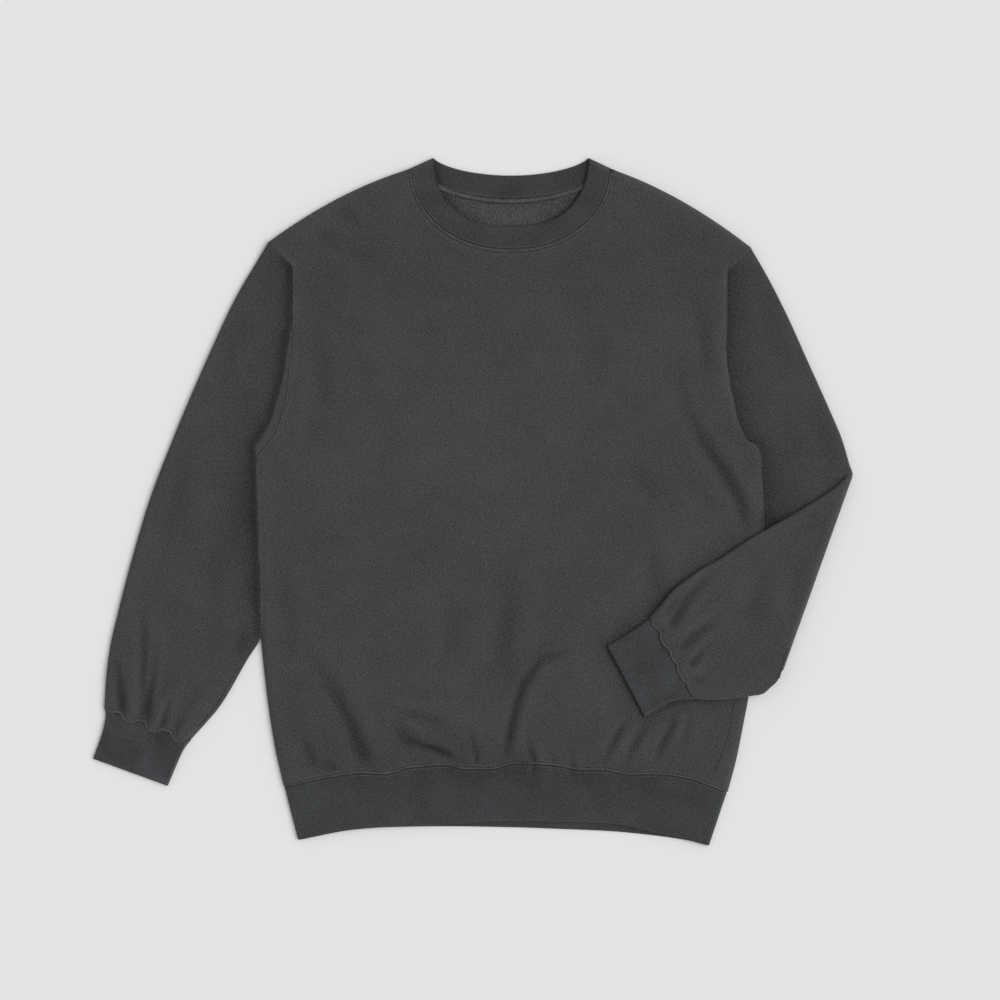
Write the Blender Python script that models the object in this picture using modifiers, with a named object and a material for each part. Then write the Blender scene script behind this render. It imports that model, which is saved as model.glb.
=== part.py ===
"""A crewneck sweatshirt laid flat with its front side up.

One sleeve lies straight beside the body. The other is folded at the elbow, and its forearm lies
across the lower front. +X points to the folded sleeve, +Y to the neck and +Z up, and the origin
is on the surface below the middle of the garment.
All sizes are in millimetres, and become metres where a vertex is placed.
"""
import math

import bmesh
import bpy
from mathutils import Vector

MM = 0.001

# Cloth and seams
FLEECE = 2.0
RIB = 3.0
BAND_GAP = 0.6
SLEEVE_GAP = 0.8
SLEEVE_CORNER_GAP = 1.6
COLLAR_GAP = 1.2
LAYER_AIR = 2.0
FOLD_AIR = 0.2

# Heights of the middle of each layer of cloth
BACK_HEIGHT = FLEECE / 2
FRONT_HEIGHT = 4.6
SLEEVE_LOW = FLEECE / 2
SLEEVE_HIGH = SLEEVE_LOW + FLEECE + LAYER_AIR
RIB_LOW = RIB / 2
RIB_HIGH = RIB_LOW + RIB + BAND_GAP

# Body
ARMPIT = 0.626
EDGE_DROP = 1.3
EDGE_WIDTH = 14.0
ARMHOLE_DIP = 1.2

# Crown of the front panel: height, how far in from the edges it is full, and deepest dip
CROWN = 3.0
CROWN_SIDE_REACH = 120.0
CROWN_HEM_REACH = 40.0
CROWN_NECK_Y = 300.0
CROWN_NECK_REACH = 90.0
DEEPEST_DIP = -0.6

# Neck and shoulders
NECK_CENTRE = 39.7
NECK_HALF = 106.8
NECK_Y = 352.0
COLLAR_HALF = 82.7
COLLAR_Y = 362.1
SHOULDER_CURVE = 8.0

# Hem
HEM_CENTRE = 34.6
HEM_HALF = 235.0
HEM_SEAM_Y = -278.0
HEM_SEAM_DROP = 26.5
HEM_SEAM_TILT = -2.9
HEM_SEAM_SQUARENESS = 2.6
HEM_END_CENTRE = 32.4
HEM_END_HALF = 215.0
HEM_END_Y = -342.0
HEM_END_DROP = 17.0
HEM_END_TILT = -3.1
HEM_END_SQUARENESS = 3
HEM_FRONT_LIFT = 6.5

# Elbow fold: the forearm turns over on this line, seen from above
FOLD_ELBOW = (402.3, 27.6)
FOLD_UNDERARM = (327.5, -181.8)
FOLD_HALF = (SLEEVE_HIGH - SLEEVE_LOW) / 2
FOLD_RADIUS = FOLD_HALF + FLEECE / 2 + FOLD_AIR
FOREARM_LIFT = 2 * FOLD_RADIUS

# How finely the body panels are divided: rows below and along an armhole, columns along the
# neck and the shoulders, and distances inside the top edge
FRONT_LOW_ROWS = 9
BACK_LOW_ROWS = 5
ARMHOLE_ROWS = 9
NECK_COLS = 12
FRONT_SHOULDER_PARTS = (0.0, 0.035, 0.1, 0.28, 0.46, 0.64, 0.82)
BACK_SHOULDER_PARTS = (0.0, 0.08, 0.4, 0.7)
EDGE_INSETS = (13.0, 5.0, 0.0)
SIDE_REACH = 3.4

# How finely the tubes are divided: rings along them, columns across a layer and round a side fold
STRAIGHT_RINGS = 18
UPPER_SECTIONS = 9
FOLD_STEPS = 5
FOREARM_SECTIONS = 8
BAND_RINGS = 3
CUFF_COLS = 6
HEM_COLS = 20
TURN_COLS = 3

# Over how many rings a sleeve's sections leave the curve of the armhole, and how quickly
STRAIGHT_FADE_RINGS = 6
FOLDED_FADE_RINGS = 4
ARMHOLE_FADE = 3.2
ARMHOLE_DIP_RINGS = 2

# Short steps that measure the direction of an outline and the width of a layer, as parts of it
OUTLINE_STEP = 0.004
LAYER_STEP = 0.03
INSET_STEP = 0.001
LEAST_SLANT = 0.3
WELD = 0.000001

# Gathers where a sleeve is drawn into its cuff
PLEATS = 4
PLEAT_HEIGHT = 2.4
PLEAT_START = 0.62
PLEAT_END = 1.04
PLEAT_END_FADE = 0.1

# Side of the body from the hem seam to the shoulder: y, x
LEFT_SIDE = [
    (-301.6, -200.3), (-203.0, -218.4), (-136.6, -224.9), (-19.6, -228.7), (58.8, -232.1),
    (86.4, -214.1), (128.8, -201.8), (192.4, -192.1), (248.6, -190.1), (275.5, -215.7),
]
RIGHT_SIDE = [
    (-307.4, 269.8), (-206.6, 291.9), (-104.4, 304.2), (6.6, 308.5), (51.6, 305.0),
    (78.3, 284.3), (119.2, 273.5), (192.4, 269.6), (244.3, 270.3), (270.1, 293.2),
]

# Neck curves: dip at the middle, squareness, roundness
FRONT_SEAM = (87.0, 2.1, 0.5)
FRONT_EDGE = (71.6, 2.6, 0.5)
BACK_SEAM = (30.8, 2.0, 0.76)
BACK_EDGE = (18.0, 2.0, 0.7)

# Straight sleeve: place along it, outer x, outer y, underarm x, underarm y
STRAIGHT_SLEEVE = [
    (0.15, -252.3, 213.6, -237.5, 52.0), (0.30, -282.0, 150.0, -234.4, 22.0),
    (0.45, -313.8, 75.8, -231.7, -19.6), (0.58, -342.4, 1.6, -230.4, -62.0),
    (0.70, -361.5, -62.0, -229.2, -109.7), (0.80, -375.2, -115.0, -229.0, -139.0),
    (0.88, -384.8, -157.4, -242.0, -170.1), (0.95, -389.0, -194.5, -268.0, -216.8),
    (1.00, -389.1, -218.6, -299.9, -252.8),
]

# Upper part of the folded sleeve, down to the elbow fold, same columns
UPPER_ARM = [
    (0.17, 313.8, 234.8, 312.5, 46.0), (0.34, 335.0, 192.4, 313.4, 8.0),
    (0.50, 354.0, 150.0, 315.4, -51.4), (0.66, 373.1, 107.6, 319.1, -93.8),
    (0.83, 389.5, 68.0, 322.5, -136.2),
]

# Forearm as it lies after the fold, same columns
FOREARM = [
    (0.0, 392.0, 23.0, 322.0, -176.5), (0.2, 359.3, -1.1, 310.6, -199.9),
    (0.4, 308.5, -31.7, 291.5, -205.2), (0.6, 259.7, -62.6, 268.2, -207.8),
    (0.8, 222.0, -86.9, 250.2, -208.4), (1.0, 188.7, -121.9, 234.3, -207.8),
]

# Cuffs, same columns
STRAIGHT_CUFF = [
    (0.0, -389.0, -219.2, -300.5, -253.7), (0.5, -390.0, -240.1, -309.0, -265.5),
    (1.0, -400.4, -271.9, -324.5, -299.4),
]
FOLDED_CUFF = [
    (0.0, 188.0, -123.6, 233.2, -208.6), (0.5, 166.4, -139.8, 206.7, -212.5),
    (1.0, 144.4, -154.2, 182.0, -225.6),
]

# Largest folds of the front: start x, start y, end x, end y, width, height
FRONT_FOLDS = [
    (-170, -180, -112, -275, 16, -2.6), (-100, -222, -15, -230, 16, 3.2),
    (-75, -252, -25, -272, 14, -2.4), (34, -60, 14, -205, 20, -2.2),
    (95, -160, 38, -272, 17, -2.6), (215, 140, 262, 30, 18, -2.2),
    (165, 45, 196, -55, 18, -1.8), (-60, -120, -10, 60, 45, 2.2), (120, 20, 140, 150, 50, 1.8),
]

# Where the forearm presses on the front: start x, start y, end x, end y, full width, fade
PRESS = (400.0, -85.0, 165.0, -188.0, 82.0, 30.0)


def blend(a, b, t):
    """The value a part t of the way from a to b."""
    return a + (b - a) * t


def ease(t):
    """A soft step from 0 to 1."""
    t = min(max(t, 0.0), 1.0)
    return t * t * (3.0 - 2.0 * t)


def smooth(rows, at):
    """The values of a table at one key, on a curve through its rows that never overshoots."""
    keys = [row[0] for row in rows]
    at = min(max(at, keys[0]), keys[-1])
    k = max(i for i in range(len(rows) - 1) if keys[i] <= at)
    step = keys[k + 1] - keys[k]
    t = (at - keys[k]) / step

    def slope(i, column):
        if i == 0 or i == len(rows) - 1:
            j = min(i, len(rows) - 2)
            return (rows[j + 1][column] - rows[j][column]) / (keys[j + 1] - keys[j])
        before = (rows[i][column] - rows[i - 1][column]) / (keys[i] - keys[i - 1])
        after = (rows[i + 1][column] - rows[i][column]) / (keys[i + 1] - keys[i])
        return 2 * before * after / (before + after) if before * after > 0 else 0.0

    values = []
    for column in range(1, len(rows[0])):
        a, b = rows[k][column], rows[k + 1][column]
        rise_a, rise_b = slope(k, column) * step, slope(k + 1, column) * step
        values.append((2 * t**3 - 3 * t**2 + 1) * a + (t**3 - 2 * t**2 + t) * rise_a
                      + (3 * t**2 - 2 * t**3) * b + (t**3 - t**2) * rise_b)
    return values


def segment_distance(x, y, x0, y0, x1, y1):
    """Distance from a point to a straight stretch, and how far along it the nearest place is."""
    dx, dy = x1 - x0, y1 - y0
    t = min(max(((x - x0) * dx + (y - y0) * dy) / (dx * dx + dy * dy), 0.0), 1.0)
    return math.hypot(x - x0 - t * dx, y - y0 - t * dy), t


# ---------------------------------------------------------------- outlines

def side_point(side, up, out=0.0):
    """A point on the body's side, up from 0 at the hem seam to 1 at the shoulder."""
    rows = LEFT_SIDE if side < 0 else RIGHT_SIDE

    def on_curve(v):
        """The side itself, a part v of the way up."""
        y = blend(rows[0][0], rows[-1][0], v)
        return Vector((smooth(rows, y)[0], y))

    here = on_curve(up)
    along = on_curve(min(up + OUTLINE_STEP, 1.0)) - on_curve(max(up - OUTLINE_STEP, 0.0))
    outward = Vector((along.y, -along.x)).normalized() * side
    return here + outward * out


def neck_point(curve, half, top, f):
    """A point on a neck curve, from f = 0 at the left shoulder to 1 at the right."""
    dip, squareness, roundness = curve
    q = -math.cos(math.pi * f)
    fall = max(1.0 - abs(q) ** squareness, 0.0) ** roundness
    return Vector((NECK_CENTRE + half * q, top - dip * fall))


def shoulder_point(side, f):
    """A point on the shoulder edge, from the sleeve at f = 0 to the neck at f = 1."""
    sleeve = side_point(side, 1.0)
    neck = Vector((NECK_CENTRE + side * NECK_HALF, NECK_Y))
    point = sleeve.lerp(neck, f)
    point.y += 4 * SHOULDER_CURVE * f * (1 - f)
    return point


def shoulder_y(x):
    """Height on the sheet of the shoulder edge over a place, level across the neck."""
    side = -1 if x < NECK_CENTRE else 1
    sleeve_x = side_point(side, 1.0).x
    f = (x - sleeve_x) / (NECK_CENTRE + side * NECK_HALF - sleeve_x)
    return shoulder_point(side, min(max(f, 0.0), 1.0)).y


def hem_seam_y(x):
    """Height on the sheet of the hem seam."""
    q = min(max((x - HEM_CENTRE) / HEM_HALF, -1.0), 1.0)
    return HEM_SEAM_Y - HEM_SEAM_DROP * abs(q) ** HEM_SEAM_SQUARENESS + HEM_SEAM_TILT * q


def hem_end_point(q, front):
    """A point on the free edge of the hem band, from q = -1 to 1."""
    y = HEM_END_Y - HEM_END_DROP * abs(q) ** HEM_END_SQUARENESS + HEM_END_TILT * q
    if front:
        y += HEM_FRONT_LIFT * (1 - q ** 4)
    return Vector((HEM_END_CENTRE + HEM_END_HALF * q, y))


# ---------------------------------------------------------------- heights

def front_height(x, y):
    """Height of the middle of the front panel, with its folds."""
    x0, y0, x1, y1, width, fade = PRESS
    clear = ease((segment_distance(x, y, x0, y0, x1, y1)[0] - width) / fade)
    inset = min(x - smooth(LEFT_SIDE, y)[0], smooth(RIGHT_SIDE, y)[0] - x, shoulder_y(x) - y)
    height = CROWN * ease(inset / CROWN_SIDE_REACH) * ease((y - hem_seam_y(x)) / CROWN_HEM_REACH)
    height *= ease((CROWN_NECK_Y - y) / CROWN_NECK_REACH)
    edge = EDGE_DROP * (1.0 - ease(inset / EDGE_WIDTH))
    for x0, y0, x1, y1, width, rise in FRONT_FOLDS:
        distance = segment_distance(x, y, x0, y0, x1, y1)[0]
        height += rise * math.exp(-(distance / width) ** 2)
    return FRONT_HEIGHT - edge + max(height, DEEPEST_DIP) * clear * ease(inset / EDGE_WIDTH)


def pleat(s, a):
    """How far the gathers near a cuff stand out of the cloth."""
    grown = ease((s - PLEAT_START) / (1.0 - PLEAT_START)) * ease((PLEAT_END - s) / PLEAT_END_FADE)
    across = math.sin(math.pi * a) ** 0.5
    return PLEAT_HEIGHT * grown * across * (0.5 - 0.5 * math.cos(2 * math.pi * PLEATS * a))


# ---------------------------------------------------------------- cloth

def cloth(name, columns, rows, place, wall, colour, closed=False):
    """A grid whose vertices are placed by a function, thickened into a wall of cloth."""
    mesh = bpy.data.meshes.new(name)
    sheet = bmesh.new()
    bmesh.ops.create_grid(sheet, x_segments=columns, y_segments=rows, size=1.0)
    for vertex in sheet.verts:
        i = round((vertex.co.x + 1.0) / 2.0 * columns)
        j = round((vertex.co.y + 1.0) / 2.0 * rows)
        vertex.co = Vector(place(i % columns if closed else i, j)) * MM
    if closed:
        bmesh.ops.remove_doubles(sheet, verts=sheet.verts, dist=WELD)
    bmesh.ops.recalc_face_normals(sheet, faces=sheet.faces)
    sheet.to_mesh(mesh)
    sheet.free()
    mesh.shade_smooth()
    piece = bpy.data.objects.new(name, mesh)
    piece.data.materials.append(fabric(name, colour))
    bpy.data.collections["crewneck_sweatshirt"].objects.link(piece)
    wall_modifier = piece.modifiers.new("wall", "SOLIDIFY")
    wall_modifier.thickness = wall * MM
    wall_modifier.offset = 0.0
    return piece


def fabric(name, colour):
    """A matte cloth material."""
    material = bpy.data.materials.new(name)
    material.use_nodes = True
    shader = material.node_tree.nodes["Principled BSDF"]
    shader.inputs["Base Color"].default_value = (*colour, 1.0)
    shader.inputs["Roughness"].default_value = 0.95
    shader.inputs["Metallic"].default_value = 0.0
    return material


def body_panel(name, shoulder_parts, rows_low, front, colour):
    """Front or back panel: a grid from the hem seam to the shoulders and neck."""
    curve = FRONT_SEAM if front else BACK_SEAM
    top = [shoulder_point(-1, f) for f in shoulder_parts]
    top += [neck_point(curve, NECK_HALF, NECK_Y, k / NECK_COLS) for k in range(NECK_COLS + 1)]
    top += [shoulder_point(1, f) for f in reversed(shoulder_parts)]
    length = top[0].y - side_point(-1, 0.0).y
    ups = [ARMPIT * k / rows_low for k in range(rows_low)]
    ups += [blend(ARMPIT, 1.0, k / ARMHOLE_ROWS) for k in range(ARMHOLE_ROWS)]
    ups += [1.0 - inset / length for inset in EDGE_INSETS]
    low_left, low_right = side_point(-1, 0.0), side_point(1, 0.0)

    def place(i, j):
        up, above = ups[j], top[i]
        f = (above.x - top[0].x) / (top[-1].x - top[0].x)
        below_x = blend(low_left.x, low_right.x, f)
        point = Vector((below_x, hem_seam_y(below_x))).lerp(above, up)
        near_left, near_right = ease(1.0 - SIDE_REACH * f), ease(1.0 - SIDE_REACH * (1 - f))
        point.x += near_left * (side_point(-1, up).x - blend(low_left.x, top[0].x, up))
        point.x += near_right * (side_point(1, up).x - blend(low_right.x, top[-1].x, up))
        return point.x, point.y, front_height(point.x, point.y) if front else BACK_HEIGHT

    return cloth(name, len(top) - 1, len(ups) - 1, place, FLEECE, colour)


def edge_inset(layer, j, last, end, half):
    """Where a layer starts to turn over, as a part of its width, for a turn of a set radius."""
    edge = layer(j, end)
    side = 1 if end == 0.0 else -1
    along = layer(min(j + 1, last), end) - layer(max(j - 1, 0), end)
    across = layer(j, end + side * LAYER_STEP) - edge
    slant = abs(across.normalized().cross(along.normalized()))
    reach = half / max(slant, LEAST_SLANT)
    inset = 0.0
    while (layer(j, end + side * inset) - edge).length < reach:
        inset += INSET_STEP
    return inset


def ring_tube(name, rings, flats, front, back, heights, wall, colour, bend=None):
    """An open tube laid flat: two layers joined at both sides by rounded folds."""
    turns = TURN_COLS
    around = 2 * flats + 2 * turns

    def on_layer(layer, j, a, half):
        """A point of one layer, kept clear of the folds at its sides."""
        low = edge_inset(layer, j, rings, 0.0, half) if a < 0.5 else 0.0
        high = edge_inset(layer, j, rings, 1.0, half) if a > 0.5 else 0.0
        return layer(j, min(max(a, low), 1.0 - high))

    def on_turn(j, end, angle, half):
        """A point of a side fold, by how far round it lies."""
        layer = front if angle < math.pi / 2 else back
        return front(j, end).lerp(on_layer(layer, j, end, half), 1.0 - math.sin(angle))

    def place(i, j):
        """The vertex in column i of ring j: front layer, side fold, back layer, side fold."""
        if i <= flats:
            a, angle = i / flats, 0.0
        elif i < flats + turns:
            a, angle = 1.0, math.pi * (i - flats) / turns
        elif i <= 2 * flats + turns:
            a, angle = 1.0 - (i - flats - turns) / flats, math.pi
        else:
            a, angle = 0.0, math.pi * (around - i) / turns
        low, high = heights(j, a)
        half = (high - low) / 2
        if 0.0 < angle < math.pi:
            point = on_turn(j, a, angle, half)
        else:
            point = on_layer(front if angle == 0.0 else back, j, a, half)
        placed = Vector((point.x, point.y, (low + high) / 2 + half * math.cos(angle)))
        return bend(placed) if bend else placed

    return cloth(name, around, rings, place, wall, colour, closed=True)


# ---------------------------------------------------------------- pieces

def lines_between(table, count, start=None):
    """Pairs of outer and underarm points, evenly spread along a table of sections."""
    rows = [start] + table if start else table
    pairs = []
    for k in range(count):
        ox, oy, ux, uy = smooth(rows, blend(rows[0][0], rows[-1][0], k / (count - 1)))
        pairs.append((Vector((ox, oy)), Vector((ux, uy))))
    return pairs


def armhole_start(side):
    """First section of a sleeve: the shoulder point and the armpit, clear of the body."""
    clear = SLEEVE_GAP + SLEEVE_CORNER_GAP
    shoulder, armpit = side_point(side, 1.0, clear), side_point(side, ARMPIT, clear)
    return (0.0, shoulder.x, shoulder.y, armpit.x, armpit.y)


def sleeve_layer(pairs, side, fade):
    """The plan of a sleeve: its first sections follow the armhole, and the curve dies away."""
    start = armhole_start(side)

    def layer(j, a):
        outer, under = pairs[j]
        point = outer.lerp(under, a)
        if j < fade:
            clear = SLEEVE_GAP + SLEEVE_CORNER_GAP * (2 * a - 1) ** 4
            seam = side_point(side, blend(1.0, ARMPIT, a), clear)
            chord = Vector(start[1:3]).lerp(Vector(start[3:5]), a)
            point += (seam - chord) * (1.0 - j / fade) ** ARMHOLE_FADE
        return point

    return layer


def armhole_dip(j, a):
    """How far the top layer sinks into the armhole seam, away from the shoulder and armpit."""
    return ARMHOLE_DIP * (1.0 - ease(j / ARMHOLE_DIP_RINGS)) * (1.0 - (2 * a - 1) ** 4)


def make_straight_sleeve(colour):
    """The sleeve beside the body, gathered into its cuff."""
    rings = STRAIGHT_RINGS
    pairs = lines_between(STRAIGHT_SLEEVE, rings + 1, armhole_start(-1))
    plan = sleeve_layer(pairs, -1, STRAIGHT_FADE_RINGS)

    def heights(j, a):
        return SLEEVE_LOW, SLEEVE_HIGH - armhole_dip(j, a) + pleat(j / rings, a)

    return ring_tube("sleeve_straight", rings, ARMHOLE_ROWS, plan, plan, heights, FLEECE, colour)


def make_folded_sleeve(colour):
    """The sleeve is laid out unfolded, then turned over on the elbow's fold line."""
    elbow, underarm = Vector(FOLD_ELBOW), Vector(FOLD_UNDERARM)
    along = (elbow - underarm).normalized()
    outward = Vector((along.y, -along.x))
    reach = FOLD_RADIUS + FOLD_HALF + FLEECE / 2
    elbow -= outward * reach
    underarm -= outward * reach
    middle = (SLEEVE_LOW + SLEEVE_HIGH) / 2

    def bend(point):
        """Where a point of the unfolded sleeve lies after the fold."""
        flat = Vector((point.x, point.y))
        past = (flat - elbow).dot(outward)
        if past <= 0:
            return point
        foot = flat - outward * past
        h = point.z - middle
        if past < math.pi * FOLD_RADIUS:
            angle = past / FOLD_RADIUS
            swing = (FOLD_RADIUS - h) * math.sin(angle)
            height = middle + FOLD_RADIUS - (FOLD_RADIUS - h) * math.cos(angle)
        else:
            swing = math.pi * FOLD_RADIUS - past
            height = middle + FOREARM_LIFT - h
        foot += outward * swing
        return Vector((foot.x, foot.y, height))

    def unfold(point):
        """Where a point of the folded forearm was before the fold."""
        behind = (elbow - point).dot(outward)
        return point + outward * (2 * behind + math.pi * FOLD_RADIUS)

    fold_line = (1.0, *elbow, *underarm)
    upper = lines_between(UPPER_ARM + [fold_line], UPPER_SECTIONS, armhole_start(1))
    steps = [math.pi * FOLD_RADIUS * (k + 1) / FOLD_STEPS for k in range(FOLD_STEPS)]
    turned = [(elbow + outward * d, underarm + outward * d) for d in steps]
    forearm = lines_between(FOREARM, FOREARM_SECTIONS)
    lower = [(unfold(outer), unfold(under)) for outer, under in forearm]
    pairs = upper + turned + lower[1:]
    rings = len(pairs) - 1
    plan = sleeve_layer(pairs, 1, FOLDED_FADE_RINGS)
    first_lower = len(upper) + len(turned) - 1

    def heights(j, a):
        s = (j - first_lower) / (rings - first_lower)
        rise = pleat(s, a) if s > 0 else 0.0
        return SLEEVE_LOW - rise, SLEEVE_HIGH - armhole_dip(j, a)

    return ring_tube("sleeve_folded", rings, ARMHOLE_ROWS, plan, plan, heights, FLEECE, colour,
                     bend)


def make_cuff(name, table, lift, colour):
    """A ribbed tube below a sleeve, lifted where it lies on the front."""
    pairs = lines_between(table, BAND_RINGS + 1)

    def plan(j, a):
        return pairs[j][0].lerp(pairs[j][1], a)

    def heights(j, a):
        return RIB_LOW + lift, RIB_HIGH + lift

    return ring_tube(name, BAND_RINGS, CUFF_COLS, plan, plan, heights, RIB, colour)


def make_hem_band(colour):
    """The ribbed tube below the body, whose front lies a little above its back."""
    def layer(front):
        def plan(j, a):
            q = blend(-1.0, 1.0, a)
            x = HEM_CENTRE + (HEM_HALF - RIB / 2) * q
            seam = Vector((x, hem_seam_y(x) - BAND_GAP))
            return seam.lerp(hem_end_point(q, front), j / BAND_RINGS)
        return plan

    def heights(j, a):
        return RIB_LOW, RIB_HIGH

    front, back = layer(True), layer(False)
    return ring_tube("hem_band", BAND_RINGS, HEM_COLS, front, back, heights, RIB, colour)


def make_collar(colour):
    """The ribbed tube round the neck, low in front and high behind."""
    def layer(seam, edge):
        def plan(j, a):
            outer = neck_point(seam, NECK_HALF - COLLAR_GAP, NECK_Y + BAND_GAP, a)
            inner = neck_point(edge, COLLAR_HALF - RIB / 2, COLLAR_Y, a)
            return outer.lerp(inner, j / BAND_RINGS)
        return plan

    def heights(j, a):
        return RIB_LOW, RIB_HIGH

    front, back = layer(FRONT_SEAM, FRONT_EDGE), layer(BACK_SEAM, BACK_EDGE)
    return ring_tube("collar", BAND_RINGS, NECK_COLS, front, back, heights, RIB, colour)


def main():
    """Clear the file and build the eight pieces."""
    for old in list(bpy.data.objects):
        bpy.data.objects.remove(old, do_unlink=True)
    collection = bpy.data.collections.new("crewneck_sweatshirt")
    bpy.context.scene.collection.children.link(collection)
    charcoal = (0.050, 0.053, 0.057)
    rib = (0.044, 0.047, 0.051)
    body_panel("front", FRONT_SHOULDER_PARTS, FRONT_LOW_ROWS, True, charcoal)
    body_panel("back", BACK_SHOULDER_PARTS, BACK_LOW_ROWS, False, charcoal)
    make_straight_sleeve(charcoal)
    make_folded_sleeve(charcoal)
    make_cuff("cuff_straight", STRAIGHT_CUFF, 0.0, rib)
    make_cuff("cuff_folded", FOLDED_CUFF, FOREARM_LIFT, rib)
    make_collar(rib)
    make_hem_band(rib)


main()
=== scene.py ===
import math

import bmesh
import bpy
import numpy as np
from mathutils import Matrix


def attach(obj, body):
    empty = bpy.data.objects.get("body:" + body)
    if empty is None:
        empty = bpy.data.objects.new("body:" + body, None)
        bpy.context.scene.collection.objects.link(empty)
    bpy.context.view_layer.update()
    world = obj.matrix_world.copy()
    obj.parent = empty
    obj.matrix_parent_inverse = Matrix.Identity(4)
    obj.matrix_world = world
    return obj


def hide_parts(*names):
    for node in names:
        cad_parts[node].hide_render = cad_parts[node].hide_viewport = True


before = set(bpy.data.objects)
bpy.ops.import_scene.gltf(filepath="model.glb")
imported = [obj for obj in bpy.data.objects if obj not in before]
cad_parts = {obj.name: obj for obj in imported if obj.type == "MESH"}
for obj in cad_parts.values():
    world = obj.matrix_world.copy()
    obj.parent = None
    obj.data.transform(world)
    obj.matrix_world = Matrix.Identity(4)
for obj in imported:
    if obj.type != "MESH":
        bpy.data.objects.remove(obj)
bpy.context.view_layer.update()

MM = 0.001

# ------------------------------------------------------------------ sizes, in millimetres

WALL = 1.8
RIB_WALL = 2.6
UNDERSIDE = 0.15

# Heights of the outer faces
BODY_TOP = 10.0
BODY_CROWN = 4.2
BODY_PRESSED = 7.1
SIDE_FOOT = 2.3
SIDE_FOOT_ON_SLEEVE = 4.3
SIDE_ROLL = 9.0
SLEEVE_TOP = 7.6
SLEEVE_CROWN = 2.6
VALLEY = 3.9
RIB_TOP = 6.4

# Neck: the seam's middle, half width and top, the same of the collar's free edge, and the dip,
# squareness and roundness of each curve
NECK_X = 39.7
NECK_HALF = 106.8
NECK_Y = 352.2
COLLAR_X = 40.3
COLLAR_HALF = 82.7
COLLAR_Y = 363.4
FRONT_SEAM = (87.0, 2.1, 0.5)
FRONT_EDGE = (72.8, 2.6, 0.5)
BACK_SEAM = (30.8, 2.0, 0.76)
BACK_EDGE = (19.2, 2.0, 0.7)
ARMPIT = 0.60
SHOULDER_CURVE = 8.0

# Gap beside an armhole, and the power at which its shape dies out down a sleeve
SEAM_GAP = 0.3
ARMHOLE_FADE = 3.2

# Reach of the body's crown from its edges, from the hem and from the neck
CROWN_REACH = 100.0
CROWN_HEM_REACH = 70.0
CROWN_NECK_REACH = 70.0
# Where the relief dies out: beside the sides, the neck and the forearm lying on the front
SIDE_CALM = 14.0
NECK_CALM = 8.0
FOREARM_CALM = 46.0
# The sewn-down dips along the hem and neck seams, and how far each reaches
HEM_DIP = 1.4
NECK_DIP = 0.8
DIP_REACH = 4.0
GATHER_REACH = 14.0

# How much the creases stand out, against the depths in their tables
RELIEF = 1.35
# Painted shade along a crease, for each millimetre of its depth
CREASE_SHADE = 0.055

# Unevenness of each cloth: height, size, seed
LUMPS = {
    "front": [(0.6, 38.0, 3), (0.22, 15.0, 4)],
    "hem gathers": [(0.8, 9.0, 5), (0.9, 17.0, 6)],
    "straight sleeve": [(0.6, 34.0, 9), (0.2, 14.0, 10)],
    "forearm": [(0.5, 34.0, 13), (0.3, 14.0, 14)],
    "hem band": [(0.5, 24.0, 18), (0.25, 9.0, 19)],
    "back": [(0.35, 17.0, 22), (0.15, 7.0, 23)],
}

# Elbow fold line seen from above, and its radius
FOLD_ELBOW = (402.3, 27.6)
FOLD_UNDERARM = (327.5, -181.8)
FOLD_RADIUS = 3.95
# The forearm's creases go no deeper than this, so that its two layers stay apart
FOREARM_DEEPEST = -3.2

# Sides of the body, with the sewn line of each armhole: y, x
LEFT_SIDE = [
    (-301.6, -200.3), (-261.6, -209.5), (-203.0, -218.4), (-136.6, -224.9), (-19.6, -228.7),
    (35.0, -230.0), (44.5, -229.3), (58.8, -217.9), (70.1, -208.4), (86.2, -202.8),
    (105.2, -197.2), (128.8, -194.2), (160.6, -190.2), (205.1, -189.4), (247.5, -189.7),
    (253.1, -193.5), (261.9, -203.5), (271.4, -213.1), (275.5, -215.7),
]
RIGHT_SIDE = [
    (-307.4, 269.8), (-274.0, 278.8), (-231.6, 287.3), (-206.6, 291.9), (-104.4, 304.2),
    (-29.9, 308.9), (6.6, 308.0), (34.5, 306.1), (51.6, 305.0), (59.6, 300.0), (66.2, 290.4),
    (78.3, 284.3), (91.7, 279.4), (107.6, 277.0), (119.2, 273.5), (160.6, 268.7),
    (192.4, 269.6), (226.7, 269.6), (244.3, 270.3), (251.1, 275.0), (259.2, 284.4),
    (270.1, 293.2),
]
# Where the straight sleeve turns down beside its armhole: y, x
LEFT_TURN = [
    (50.0, -231.0), (58.8, -231.5), (70.1, -222.6), (86.4, -214.1), (107.1, -208.4),
    (128.8, -201.8), (160.6, -197.2), (192.4, -192.1), (226.7, -191.4), (248.6, -190.5),
    (253.1, -194.3), (261.9, -204.3), (271.4, -213.9), (275.5, -216.5),
]

# Hem: seam x, y
HEM_SEAM = [
    (-200.3, -301.6), (-154.8, -291.5), (-117.7, -286.4), (-93.8, -287.5), (-66.8, -280.7),
    (-29.7, -278.0), (-9.3, -282.1), (17.7, -282.5), (44.7, -276.3), (68.5, -277.0),
    (92.2, -279.0), (112.4, -283.1), (136.0, -283.1), (166.4, -288.1), (190.2, -287.5),
    (227.3, -292.0), (247.6, -298.9), (269.8, -307.4),
]
# Free edge of the hem band: x, y behind, y in front
HEM_END = [
    (-185.1, -357.4, -357.4), (-131.0, -347.2, -347.0), (-100.7, -344.6, -344.2),
    (-29.7, -343.2, -341.0), (44.5, -344.3, -337.2), (92.2, -346.0, -338.1),
    (142.8, -348.2, -339.9), (186.6, -352.2, -348.2), (227.3, -358.1, -357.4),
    (250.0, -363.6, -363.6),
]

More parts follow.
